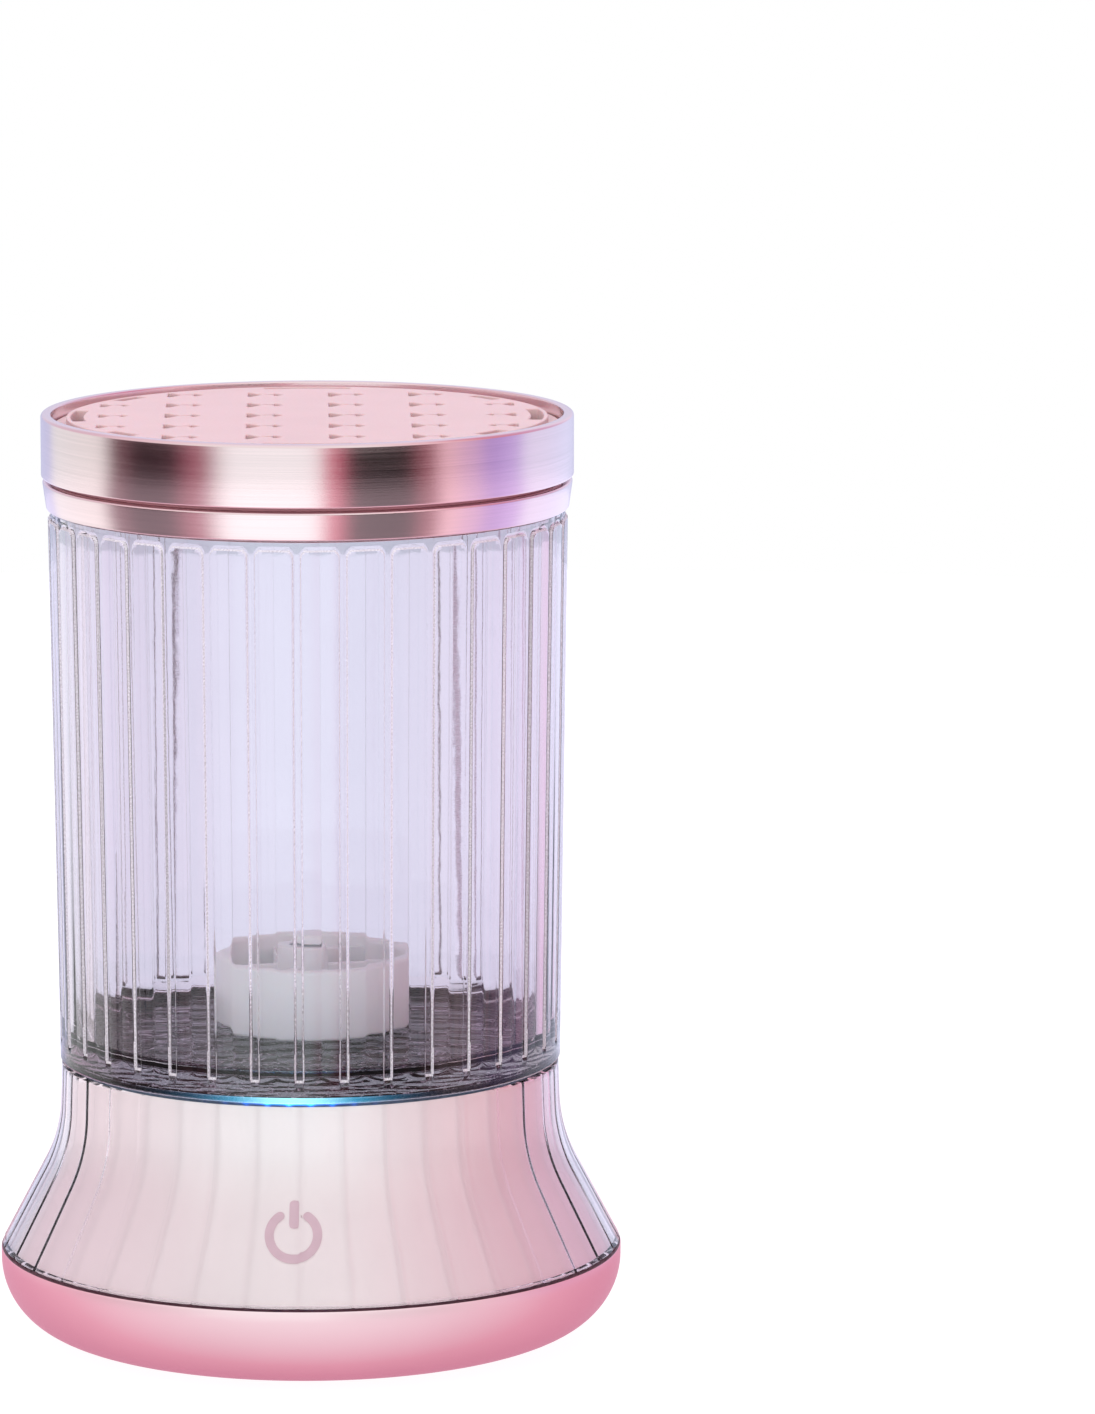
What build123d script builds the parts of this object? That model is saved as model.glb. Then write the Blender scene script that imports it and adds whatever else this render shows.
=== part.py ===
from build123d import *
from math import cos, hypot, radians, sin, sqrt
import os

# An electric make-up brush cleaner: a flared base with a motor and a light ring, a clear fluted cup
# whose agitator is turned by magnets through its floor, and a metal-ringed lid that carries a
# silicone brush holder. Millimetres, +Z up, origin under the middle of the feet, front towards -Y.

# Driving dimensions
TOTAL_HEIGHT = 190.0
FLUTES = 36
FLUTE_PITCH = 360 / FLUTES
FLUTE_START = FLUTE_PITCH * 3 / 4

BASE_RADIUS = 63.7
BOWL_BOTTOM = 1.0
BOWL_CORNER = 14.9
BOWL_TOP = 18.3
BOWL_WALL = 2.4
INNER_FLOOR = BOWL_BOTTOM + BOWL_WALL
BOWL_FLANGE_RADIUS = 56.5
PILLAR_RADIUS = 4.2
PILLAR_RECESS_RADIUS = 3.2
PILLAR_RECESS_TOP = 14.0
SCREW_HOLE_RADIUS = 1.7

SKIRT_BOTTOM = 18.7
SKIRT_TOP = 56.7
SKIRT_TOP_RADIUS = 50.9
SKIRT_NECK_RADIUS = 51.4
SKIRT_NECK_HEIGHT = 41.5
SKIRT_BEND = 60.0
CLEAR_SKIRT_WALL = 2.0
SKIRT_GAP = 0.3
PINK_SKIRT_WALL = 2.2
SKIRT_GROOVE = 0.7
LEDGE_RADIUS = 43.0
LEDGE_BOTTOM = 47.4
LEDGE_SINK = 1.0

CUP_BOTTOM = 57.6
CUP_FLOOR = 62.0
CUP_BOTTOM_RADIUS = 51.2
CUP_SHOULDER = 170.5
CUP_SHOULDER_RADIUS = 52.8
CUP_TOP = 176.5
CUP_RIM_RADIUS = 51.5
CUP_WALL = 3.0
CUP_MOUTH_RADIUS = 49.6
CUP_GROOVE = 0.8
CUP_GROOVE_TOP = 165.0
CUP_FOOT_RADIUS = 42.7
CUP_FOOT_WALL = 2.2
CUP_FOOT_BOTTOM = 54.4
CUP_BOSS_RADIUS = 5.0
CUP_BOSS_TOP = 62.5
AXLE_SOCKET = 59.2
COLLAR_FOOT_RADIUS = 53.1
COLLAR_RADIUS = 53.8
COLLAR_GAP = 0.3

LID_RADIUS = 54.0
LID_RING_BOTTOM = 177.3
LID_RING_WALL = 2.1
CARRIER_RADIUS = 51.8
CARRIER_WALL = 2.0
CARRIER_LEDGE = 186.0
CARRIER_LEDGE_RADIUS = 48.2
SPIGOT_INNER = 46.6
SPIGOT_GAP = 0.4
SPIGOT_BOTTOM = 170.0
SEAL_BOTTOM = 172.0
SEAL_TOP = 174.0
SEAL_DEPTH = 1.2
HOLDER_TOP = 189.3
HOLDER_RADIUS = 51.5
HOLDER_PLATEAU_RADIUS = 48.8
HOLDER_FLANGE = 1.6

CELL_PITCH_X = 16.6
CELL_PITCH_Y = 17.4
CELL_LIMIT = 45.0
CELL_SPREAD = 4.9
EDGE_COLUMN = 39.0
EDGE_SPREAD = 4.0
LARGE_SLOT = (3.0, 9.0)
SMALL_SLOT = (1.9, 5.6)
LARGE_EDGE_SLOT = (2.6, 7.2)
SMALL_EDGE_SLOT = (1.6, 4.5)
CELL_SLIT = 0.5
SLOT_ROUND = 0.4
WINDOW_CIRCLE = 46.6
WINDOW_WIDTH = 2.6

DECK_TOP = 54.0
DECK_RADIUS = 43.1
DECK_UNDERSIDE = 51.4
DECK_LIP_INNER = 41.2
DECK_LIP_TOP = 52.0
LIGHT_RING_INNER = 43.4
LIGHT_RING_OUTER = 50.3
LIGHT_WEB_OUTER = 45.7
LIGHT_WEB_BOTTOM = 52.2
LED_BOARD_INNER = 41.0
LED_BOARD_OUTER = 45.4
LED_BOARD_BOTTOM = 49.6
LED_BOARD_TOP = 50.8
LED_COUNT = 24
LED_CIRCLE = 44.5
LED_SIZE = (1.6, 2.0)
LED_HEIGHT = 1.2

SHAFT_RADIUS = 1.5
MOTOR_RADIUS = 12.0
MOTOR_BOTTOM = 22.0
MOTOR_TOP = 40.5
MOTOR_BOSS_RADIUS = 4.0
MOTOR_BOSS_TOP = 43.0
SHAFT_DEPTH = 8.0
MOTOR_SCREW_CIRCLE = 8.5
MOTOR_SCREW_RADIUS = 1.0
MOTOR_SCREW_HEAD = (1.9, 1.3)
BRACKET_PLATE = 2.0
BRACKET_HUB_RADIUS = 15.0
BRACKET_ARM = (30.0, 9.0)
BRACKET_ARM_CENTRE = 22.0
BRACKET_LEG_CIRCLE = 35.0
BRACKET_LEG_RADIUS = 3.0
BRACKET_LEGS = 3
ROTOR_RADIUS = 17.0
ROTOR_BOTTOM = 46.4
ROTOR_TOP = 50.2
MAGNET_CIRCLE = 11.5
MAGNET_RADIUS = 4.0
MAGNET_HEIGHT = 2.2
MAGNETS = 4

AXLE_RADIUS = 2.0
AGITATOR_RADIUS = 19.8
AGITATOR_BOTTOM = 62.8
AGITATOR_DISC_TOP = 67.0
AGITATOR_TOP = 77.5
AGITATOR_HUB_TOP = 79.0
AGITATOR_HUB_RADIUS = 5.0
AGITATOR_WALL = 2.2
AGITATOR_VANES = 6
VANE_THICKNESS = 1.6
VANE_HEIGHT = 8.0
COVER_RADIUS = 17.5
COVER_TOP = 63.6
BUSH_RADIUS = 3.4
AXLE_TOP = 80.0
AXLE_CAP_RADIUS = 3.3
AXLE_CAP_BOTTOM = 79.4
AXLE_CAP_TOP = 81.4
AXLE_CAP_ROUND = 0.8

SCREW_CIRCLE = 42.0
SCREW_COUNT = 4
SCREW_RADIUS = 1.4
SCREW_HEAD_RADIUS = 2.9
SCREW_HEAD_BOTTOM = 11.4
SCREW_SOCKET = (3.2, 0.8)
SCREW_SOCKET_DEPTH = 1.2
FOOT_CIRCLE = 36.0
FOOT_COUNT = 4
FOOT_RADIUS = 5.0
FOOT_TOP = BOWL_BOTTOM + 0.6
FOOT_CHAMFER = 0.3
TAB_BOTTOM = 20.0
TAB_TOP = 24.0
TAB_CENTRE = 47.7
TAB_LENGTH = 19.4
TAB_WIDTH = 9.0
LOOSE_FIT = 0.1
CLOSE_FIT = 0.05

ICON_HEIGHT = 31.5
ICON_TURN = -3.8
ICON_RADIUS = 4.8
ICON_STROKE = 1.8
ICON_ARC_START = 125
ICON_ARC_SPAN = 290
ICON_BAR = 6.4
ICON_BAR_RISE = 4.2
TOUCH_PAD = 16.0
TOUCH_PAD_ROUND = 3.0
TOUCH_PAD_THICKNESS = 1.0

PORT_HEIGHT = 10.5
PORT_OPENING_WIDTH = 10.4
PORT_OPENING_HEIGHT = 4.6
PORT_OPENING_DEPTH = 12.0
PORT_REACH = 3.5
PORT_SHELL = (8.94, 3.26)
PORT_HOLLOW = (8.34, 2.56)
PORT_TONGUE = (6.6, 0.7)
PORT_BACK = 52.6
PORT_FLOOR = 54.0
PORT_LENGTH = 7.4

BOARD_THICKNESS = 1.2
CONTROL_Y = -38.0
CONTROL_BOARD = (34.0, 18.0)
CONTROL_BOARD_BOTTOM = 8.0
CONTROL_BOARD_TOP = 9.6
CONTROL_POST_X = 13.0
CHIP_HEIGHT = 1.5
TRAY_SIZE = (53.0, 37.0)
TRAY_HOLLOW = (50.4, 34.4)
TRAY_FLOOR = 5.0
TRAY_HEIGHT = 8.0
CELL_SIZE = (50.0, 34.0)
CELL_HEIGHT = 8.5
CHARGE_BOARD = (16.0, 15.0)
CHARGE_BOARD_Y = 47.5
CHARGE_POSTS = (6.0, 43.5)


def flare(inset, top, bottom):
    """The skirt's (radius, height) corner points from top to bottom, moved in by inset."""
    neck_slope = (SKIRT_NECK_RADIUS - SKIRT_TOP_RADIUS) / (SKIRT_TOP - SKIRT_NECK_HEIGHT)
    foot_slope = (BASE_RADIUS - SKIRT_NECK_RADIUS) / (SKIRT_NECK_HEIGHT - BOWL_TOP)
    neck_inset = inset * hypot(1, neck_slope)
    foot_inset = inset * hypot(1, foot_slope)
    bend = SKIRT_NECK_HEIGHT - (neck_inset - foot_inset) / (neck_slope - foot_slope)

    def neck_radius(height):
        return SKIRT_NECK_RADIUS + (SKIRT_NECK_HEIGHT - height) * neck_slope - neck_inset

    foot_radius = SKIRT_NECK_RADIUS + (SKIRT_NECK_HEIGHT - bottom) * foot_slope - foot_inset
    return [(neck_radius(top), top), (neck_radius(bend), bend), (foot_radius, bottom)]


def turned_shell(outer, inner, outer_bend, inner_bend):
    """A shell of revolution between two three-point profiles whose middle corner is rounded."""
    with BuildPart() as shell:
        with BuildSketch(Plane.XZ):
            with BuildLine():
                FilletPolyline(*outer, radius=outer_bend)
                FilletPolyline(*inner, radius=inner_bend)
                Line(outer[0], inner[0])
                Line(outer[-1], inner[-1])
            make_face()
        revolve(axis=Axis.Z)
    return shell.part


def turned(*outline):
    """A solid of revolution from its closed (radius, height) outline."""
    with BuildPart() as body:
        with BuildSketch(Plane.XZ):
            with BuildLine():
                Polyline(*outline, close=True)
            make_face()
        revolve(axis=Axis.Z)
    return body.part


def disc(radius, bottom, top):
    """An upright cylinder on the object's axis, or wherever the Locations around it say."""
    with BuildPart() as body:
        with BuildSketch(Plane.XY.offset(bottom)):
            Circle(radius)
        extrude(amount=top - bottom)
    return body.part


os.makedirs("parts", exist_ok=True)
finished = []


def finish(builder, name):
    """Labels a finished sub-part and writes its STEP file."""
    builder.part.label = name
    export_step(builder.part, f"parts/{name}.step")
    finished.append(name)


# ---------------------------------------------------------------- Base housing

# Glossy bowl under the skirt: a flat bottom, a quarter-round corner and an inward top flange.
bowl_centre_radius = BASE_RADIUS - BOWL_CORNER
bowl_centre_height = BOWL_BOTTOM + BOWL_CORNER
bowl_inner_corner = BOWL_CORNER - BOWL_WALL
flange_underside = BOWL_TOP - BOWL_WALL
flange_drop = bowl_centre_height - flange_underside
flange_root = bowl_centre_radius + sqrt(bowl_inner_corner**2 - flange_drop**2)

with BuildPart() as bottom_bowl:
    with BuildSketch(Plane.XZ):
        with BuildLine():
            bottom_line = Line((0, BOWL_BOTTOM), (bowl_centre_radius, BOWL_BOTTOM))
            RadiusArc(bottom_line @ 1, (BASE_RADIUS, bowl_centre_height), -BOWL_CORNER)
            Polyline(
                (BASE_RADIUS, bowl_centre_height),
                (BASE_RADIUS, BOWL_TOP),
                (BOWL_FLANGE_RADIUS, BOWL_TOP),
                (BOWL_FLANGE_RADIUS, flange_underside),
                (flange_root, flange_underside),
            )
            inner_floor = (bowl_centre_radius, INNER_FLOOR)
            RadiusArc((flange_root, flange_underside), inner_floor, bowl_inner_corner)
            Polyline(inner_floor, (0, INNER_FLOOR), (0, BOWL_BOTTOM))
        make_face()
    revolve(axis=Axis.Z)
    with PolarLocations(SCREW_CIRCLE, SCREW_COUNT, start_angle=45):
        add(disc(PILLAR_RADIUS, BOWL_BOTTOM + BOWL_WALL / 2, TAB_BOTTOM))
        add(disc(PILLAR_RECESS_RADIUS, BOWL_BOTTOM, PILLAR_RECESS_TOP), mode=Mode.SUBTRACT)
        add(disc(SCREW_HOLE_RADIUS, BOWL_BOTTOM, TAB_BOTTOM), mode=Mode.SUBTRACT)
    with PolarLocations(FOOT_CIRCLE, FOOT_COUNT):
        add(disc(FOOT_RADIUS + LOOSE_FIT, BOWL_BOTTOM, FOOT_TOP), mode=Mode.SUBTRACT)
    with BuildSketch(Plane.XZ.offset(-BASE_RADIUS - PORT_REACH)):
        with Locations((0, PORT_HEIGHT)):
            SlotOverall(PORT_OPENING_WIDTH, PORT_OPENING_HEIGHT)
    extrude(amount=PORT_OPENING_DEPTH, mode=Mode.SUBTRACT)
finish(bottom_bowl, "bottom_bowl")

# Opaque inner skirt behind the clear one, with screw tabs and a ledge for the light's board.
with BuildPart() as skirt_inner:
    pink_outer = CLEAR_SKIRT_WALL + SKIRT_GAP
    pink_inner = pink_outer + PINK_SKIRT_WALL
    add(
        turned_shell(
            flare(pink_outer, SKIRT_TOP, BOWL_TOP),
            flare(pink_inner, SKIRT_TOP, BOWL_TOP),
            SKIRT_BEND + pink_outer,
            SKIRT_BEND + pink_inner,
        )
    )
    ledge_root = SKIRT_TOP_RADIUS - pink_inner + LEDGE_SINK
    add(
        turned(
            (LEDGE_RADIUS, LEDGE_BOTTOM),
            (ledge_root, LEDGE_BOTTOM),
            (ledge_root, LED_BOARD_BOTTOM),
            (LEDGE_RADIUS, LED_BOARD_BOTTOM),
        )
    )
    with BuildSketch(Plane.XY.offset(TAB_BOTTOM)):
        with PolarLocations(TAB_CENTRE, SCREW_COUNT, start_angle=45):
            Rectangle(TAB_LENGTH, TAB_WIDTH)
        with PolarLocations(SCREW_CIRCLE, SCREW_COUNT, start_angle=45):
            Circle(SCREW_RADIUS + CLOSE_FIT, mode=Mode.SUBTRACT)
    extrude(amount=TAB_TOP - TAB_BOTTOM)
finish(skirt_inner, "skirt_inner")

# Clear fluted outer skirt. Its grooves carry on from those of the cup.
with BuildPart() as skirt_groove:
    with BuildLine(Plane.XZ) as groove_path:
        FilletPolyline(*flare(0, SKIRT_TOP + 1, SKIRT_BOTTOM - 1), radius=SKIRT_BEND)
    with BuildSketch(Plane(groove_path.line @ 0, z_dir=groove_path.line % 0)):
        Circle(SKIRT_GROOVE)
    sweep(path=groove_path.line)

with BuildPart() as skirt_outer:
    add(
        turned_shell(
            flare(0, SKIRT_TOP, SKIRT_BOTTOM),
            flare(CLEAR_SKIRT_WALL, SKIRT_TOP, SKIRT_BOTTOM),
            SKIRT_BEND,
            SKIRT_BEND + CLEAR_SKIRT_WALL,
        )
    )
    with PolarLocations(0, FLUTES, start_angle=FLUTE_START):
        add(skirt_groove.part, mode=Mode.SUBTRACT)
finish(skirt_outer, "skirt_outer")

# Dark deck under the cup, inside the light ring.
with BuildPart() as deck_plate:
    add(turned((0, DECK_UNDERSIDE), (DECK_RADIUS, DECK_UNDERSIDE), (DECK_RADIUS, DECK_TOP), (0, DECK_TOP)))
    add(
        turned(
            (DECK_LIP_INNER, LED_BOARD_TOP),
            (DECK_RADIUS, LED_BOARD_TOP),
            (DECK_RADIUS, DECK_LIP_TOP),
            (DECK_LIP_INNER, DECK_LIP_TOP),
        )
    )
finish(deck_plate, "deck_plate")

# Light ring: a web over the diodes and a flange that shows as a thin line below the cup.
with BuildPart() as light_ring:
    add(
        turned(
            (LIGHT_RING_INNER, LIGHT_WEB_BOTTOM),
            (LIGHT_WEB_OUTER, LIGHT_WEB_BOTTOM),
            (LIGHT_WEB_OUTER, SKIRT_TOP),
            (LIGHT_RING_OUTER, SKIRT_TOP),
            (LIGHT_RING_OUTER, CUP_BOTTOM),
            (LIGHT_RING_INNER, CUP_BOTTOM),
        )
    )
finish(light_ring, "light_ring")

with BuildPart() as led_board:
    add(
        turned(
            (LED_BOARD_INNER, LED_BOARD_BOTTOM),
            (LED_BOARD_OUTER, LED_BOARD_BOTTOM),
            (LED_BOARD_OUTER, LED_BOARD_TOP),
            (LED_BOARD_INNER, LED_BOARD_TOP),
        )
    )
finish(led_board, "led_board")

with BuildPart() as led_chips:
    with BuildSketch(Plane.XY.offset(LED_BOARD_TOP)):
        with PolarLocations(LED_CIRCLE, LED_COUNT):
            Rectangle(*LED_SIZE)
    extrude(amount=LED_HEIGHT)
finish(led_chips, "led_chips")

# ---------------------------------------------------------------- Electronics

# Touch pad and power symbol, square to the skirt's straight lower slope.
slope_radial = BASE_RADIUS - SKIRT_NECK_RADIUS
slope_rise = SKIRT_NECK_HEIGHT - BOWL_TOP
front_turn = -90 + ICON_TURN
front = Vector(cos(radians(front_turn)), sin(radians(front_turn)), 0)
icon_surface_radius = SKIRT_NECK_RADIUS + (SKIRT_NECK_HEIGHT - ICON_HEIGHT) * slope_radial / slope_rise
outward = (front * slope_rise + Vector(0, 0, slope_radial)).normalized()
sideways = Vector(0, 0, 1).cross(front)
icon_centre = front * icon_surface_radius + Vector(0, 0, ICON_HEIGHT)
pad_depth = pink_inner + TOUCH_PAD_THICKNESS + 0.8
pad_plane = Plane(icon_centre - outward * pad_depth, x_dir=sideways, z_dir=outward)
icon_plane = Plane(icon_centre - outward * (pink_outer + 1.0), x_dir=sideways, z_dir=outward)

with BuildPart() as touch_electrode:
    with BuildSketch(pad_plane):
        RectangleRounded(TOUCH_PAD, TOUCH_PAD, TOUCH_PAD_ROUND)
    extrude(amount=TOUCH_PAD_THICKNESS)
finish(touch_electrode, "touch_electrode")

with BuildPart() as icon_layer:
    add(
        turned_shell(
            flare(CLEAR_SKIRT_WALL + CLOSE_FIT, SKIRT_TOP, SKIRT_BOTTOM),
            flare(pink_outer, SKIRT_TOP, SKIRT_BOTTOM),
            SKIRT_BEND + CLEAR_SKIRT_WALL + CLOSE_FIT,
            SKIRT_BEND + pink_outer,
        )
    )

with BuildPart() as power_icon:
    with BuildSketch(icon_plane):
        with BuildLine():
            CenterArc((0, 0), ICON_RADIUS, ICON_ARC_START, ICON_ARC_SPAN)
        trace(line_width=ICON_STROKE)
        with Locations((0, ICON_BAR_RISE)):
            SlotOverall(ICON_BAR, ICON_STROKE, rotation=90)
    extrude(amount=3.0)
    add(icon_layer.part, mode=Mode.INTERSECT)
finish(power_icon, "power_icon")

with BuildPart() as control_board:
    with BuildSketch(Plane.XY.offset(CONTROL_BOARD_BOTTOM)):
        with Locations((0, CONTROL_Y)):
            RectangleRounded(*CONTROL_BOARD, radius=1.0)
    extrude(amount=CONTROL_BOARD_TOP - CONTROL_BOARD_BOTTOM)
    with BuildSketch(Plane.XY.offset(INNER_FLOOR)):
        with Locations((-CONTROL_POST_X, CONTROL_Y), (CONTROL_POST_X, CONTROL_Y)):
            Circle(2.0)
    extrude(amount=CONTROL_BOARD_BOTTOM - INNER_FLOOR)
finish(control_board, "control_board")

with BuildPart() as control_chips:
    with BuildSketch(Plane.XY.offset(CONTROL_BOARD_TOP)):
        with Locations((-9, CONTROL_Y), (2, CONTROL_Y)):
            Rectangle(6, 6)
        with Locations((11, CONTROL_Y)):
            Rectangle(4, 9)
    extrude(amount=CHIP_HEIGHT)
finish(control_chips, "control_chips")

with BuildPart() as battery_tray:
    with BuildSketch(Plane.XY.offset(INNER_FLOOR)):
        RectangleRounded(*TRAY_SIZE, radius=2.0)
    extrude(amount=TRAY_HEIGHT)
    with BuildSketch(Plane.XY.offset(TRAY_FLOOR)):
        Rectangle(*TRAY_HOLLOW)
    extrude(amount=TRAY_HEIGHT, mode=Mode.SUBTRACT)
finish(battery_tray, "battery_tray")

with BuildPart() as battery_cell:
    with BuildSketch(Plane.XY.offset(TRAY_FLOOR)):
        RectangleRounded(*CELL_SIZE, radius=3.0)
    extrude(amount=CELL_HEIGHT)
finish(battery_cell, "battery_cell")

# Charging socket in the back of the bowl: a stadium-shaped steel shell with its tongue.
with BuildPart() as usb_c_port:
    with BuildSketch(Plane.XZ.offset(-PORT_BACK)):
        with Locations((0, PORT_HEIGHT)):
            SlotOverall(*PORT_SHELL)
    extrude(amount=-PORT_LENGTH)
    with BuildSketch(Plane.XZ.offset(-PORT_FLOOR)):
        with Locations((0, PORT_HEIGHT)):
            SlotOverall(*PORT_HOLLOW)
            Rectangle(*PORT_TONGUE, mode=Mode.SUBTRACT)
    extrude(amount=-PORT_LENGTH, mode=Mode.SUBTRACT)
finish(usb_c_port, "usb_c_port")

with BuildPart() as charge_board:
    charge_board_bottom = PORT_HEIGHT - 3.0
    post_x, post_y = CHARGE_POSTS
    with BuildSketch(Plane.XY.offset(charge_board_bottom)):
        with Locations((0, CHARGE_BOARD_Y)):
            Rectangle(*CHARGE_BOARD)
    extrude(amount=BOARD_THICKNESS)
    with BuildSketch(Plane.XY.offset(INNER_FLOOR)):
        with Locations((-post_x, post_y), (post_x, post_y)):
            Circle(1.8)
    extrude(amount=charge_board_bottom - INNER_FLOOR)
finish(charge_board, "charge_board")

# ---------------------------------------------------------------- Drive

with BuildPart() as motor_can:
    add(disc(MOTOR_RADIUS, MOTOR_BOTTOM, MOTOR_TOP))
    add(disc(MOTOR_BOSS_RADIUS, MOTOR_TOP, MOTOR_BOSS_TOP))
    add(disc(SHAFT_RADIUS + CLOSE_FIT, MOTOR_TOP - SHAFT_DEPTH, MOTOR_BOSS_TOP), mode=Mode.SUBTRACT)
finish(motor_can, "motor_can")

with BuildPart() as motor_bracket:
    with BuildSketch(Plane.XY.offset(MOTOR_TOP)):
        Circle(BRACKET_HUB_RADIUS)
        with PolarLocations(BRACKET_ARM_CENTRE, BRACKET_LEGS, start_angle=90):
            Rectangle(*BRACKET_ARM)
        Circle(MOTOR_BOSS_RADIUS + 2 * LOOSE_FIT, mode=Mode.SUBTRACT)
        with PolarLocations(MOTOR_SCREW_CIRCLE, 2):
            Circle(MOTOR_SCREW_RADIUS + LOOSE_FIT, mode=Mode.SUBTRACT)
    extrude(amount=BRACKET_PLATE)
    with BuildSketch(Plane.XY.offset(INNER_FLOOR)):
        with PolarLocations(BRACKET_LEG_CIRCLE, BRACKET_LEGS, start_angle=90):
            Circle(BRACKET_LEG_RADIUS)
    extrude(amount=MOTOR_TOP - INNER_FLOOR)
finish(motor_bracket, "motor_bracket")

with BuildPart() as motor_screws:
    head_radius, head_height = MOTOR_SCREW_HEAD
    with BuildSketch(Plane.XY.offset(MOTOR_TOP)):
        with PolarLocations(MOTOR_SCREW_CIRCLE, 2):
            Circle(MOTOR_SCREW_RADIUS)
    extrude(amount=BRACKET_PLATE)
    with BuildSketch(Plane.XY.offset(MOTOR_TOP + BRACKET_PLATE)):
        with PolarLocations(MOTOR_SCREW_CIRCLE, 2):
            Circle(head_radius)
    extrude(amount=head_height)
finish(motor_screws, "motor_screws")

with BuildPart() as motor_shaft:
    add(disc(SHAFT_RADIUS, MOTOR_TOP - SHAFT_DEPTH + 0.5, ROTOR_TOP))
finish(motor_shaft, "motor_shaft")

with BuildPart() as magnet_holder:
    add(disc(ROTOR_RADIUS, ROTOR_BOTTOM, ROTOR_TOP))
    add(disc(SHAFT_RADIUS, ROTOR_BOTTOM, ROTOR_TOP), mode=Mode.SUBTRACT)
    with PolarLocations(MAGNET_CIRCLE, MAGNETS):
        add(disc(MAGNET_RADIUS, ROTOR_TOP - MAGNET_HEIGHT, ROTOR_TOP), mode=Mode.SUBTRACT)
finish(magnet_holder, "magnet_holder")

with BuildPart() as drive_magnets:
    with PolarLocations(MAGNET_CIRCLE, MAGNETS):
        add(disc(MAGNET_RADIUS - CLOSE_FIT, ROTOR_TOP - MAGNET_HEIGHT, ROTOR_TOP))
finish(drive_magnets, "drive_magnets")

# ---------------------------------------------------------------- Fasteners and feet

with BuildPart() as screw_socket:
    with BuildSketch(Plane.XY.offset(SCREW_HEAD_BOTTOM)):
        Rectangle(*SCREW_SOCKET)
        Rectangle(*SCREW_SOCKET, rotation=90)
    extrude(amount=SCREW_SOCKET_DEPTH)

with BuildPart() as housing_screws:
    with PolarLocations(SCREW_CIRCLE, SCREW_COUNT, start_angle=45):
        add(disc(SCREW_HEAD_RADIUS, SCREW_HEAD_BOTTOM, PILLAR_RECESS_TOP))
        add(disc(SCREW_RADIUS, PILLAR_RECESS_TOP, TAB_TOP - 0.6))
        add(screw_socket.part, mode=Mode.SUBTRACT)
finish(housing_screws, "housing_screws")

with BuildPart() as rubber_feet:
    with PolarLocations(FOOT_CIRCLE, FOOT_COUNT):
        add(disc(FOOT_RADIUS, 0, FOOT_TOP))
    chamfer(rubber_feet.edges().group_by(Axis.Z)[0], FOOT_CHAMFER)
finish(rubber_feet, "rubber_feet")

# ---------------------------------------------------------------- Clear cup

# The fluted wall widens upwards to a plain band and a stepped rim that the collar goes round.
with BuildPart() as cup_groove:
    groove_start = Vector(CUP_BOTTOM_RADIUS, 0, CUP_BOTTOM)
    wall_line = Vector(CUP_SHOULDER_RADIUS, 0, CUP_SHOULDER) - groove_start
    with BuildSketch(Plane(groove_start - wall_line.normalized(), x_dir=(0, 1, 0), z_dir=wall_line)):
        Circle(CUP_GROOVE)
    extrude(amount=CUP_GROOVE_TOP - CUP_BOTTOM)

with BuildPart() as cup:
    with BuildSketch(Plane.XZ):
        with BuildLine():
            cup_floor_radius = CUP_BOTTOM_RADIUS - CUP_WALL
            Polyline(
                (0, CUP_BOTTOM),
                (CUP_FOOT_RADIUS - CUP_FOOT_WALL, CUP_BOTTOM),
                (CUP_FOOT_RADIUS - CUP_FOOT_WALL, CUP_FOOT_BOTTOM),
                (CUP_FOOT_RADIUS, CUP_FOOT_BOTTOM),
                (CUP_FOOT_RADIUS, CUP_BOTTOM),
                (CUP_BOTTOM_RADIUS, CUP_BOTTOM),
                (CUP_SHOULDER_RADIUS, CUP_SHOULDER),
                (CUP_RIM_RADIUS, CUP_SHOULDER),
                (CUP_RIM_RADIUS, CUP_TOP),
                (CUP_MOUTH_RADIUS, CUP_TOP),
                (CUP_MOUTH_RADIUS, CUP_SHOULDER),
                (cup_floor_radius + 0.1, CUP_FLOOR + 3.0),
                (cup_floor_radius - 0.9, CUP_FLOOR + 0.9),
                (cup_floor_radius - 3.0, CUP_FLOOR),
                (CUP_BOSS_RADIUS, CUP_FLOOR),
                (CUP_BOSS_RADIUS, CUP_BOSS_TOP),
                (AXLE_RADIUS, CUP_BOSS_TOP),
                (AXLE_RADIUS, AXLE_SOCKET),
                (0, AXLE_SOCKET),
                close=True,
            )
        make_face()
    revolve(axis=Axis.Z)
    with PolarLocations(0, FLUTES, start_angle=FLUTE_START):
        add(cup_groove.part, mode=Mode.SUBTRACT)
finish(cup, "cup")

with BuildPart() as cup_collar:
    collar_inner = CUP_RIM_RADIUS + LOOSE_FIT
    collar_bottom = CUP_SHOULDER + COLLAR_GAP
    add(
        turned(
            (collar_inner, collar_bottom),
            (COLLAR_FOOT_RADIUS - 0.3, collar_bottom),
            (COLLAR_FOOT_RADIUS, collar_bottom + 0.3),
            (COLLAR_RADIUS, CUP_TOP - 0.4),
            (COLLAR_RADIUS - 0.4, CUP_TOP),
            (collar_inner, CUP_TOP),
        )
    )
finish(cup_collar, "cup_collar")

with BuildPart() as agitator_axle:
    add(disc(AXLE_RADIUS, AXLE_SOCKET, AXLE_TOP))
finish(agitator_axle, "agitator_axle")

with BuildPart() as axle_cap:
    add(disc(AXLE_CAP_RADIUS, AXLE_CAP_BOTTOM, AXLE_CAP_TOP))
    fillet(axle_cap.edges().group_by(Axis.Z)[-1], AXLE_CAP_ROUND)
    add(disc(AXLE_RADIUS, AXLE_CAP_BOTTOM, AXLE_TOP), mode=Mode.SUBTRACT)
finish(axle_cap, "axle_cap")

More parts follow.
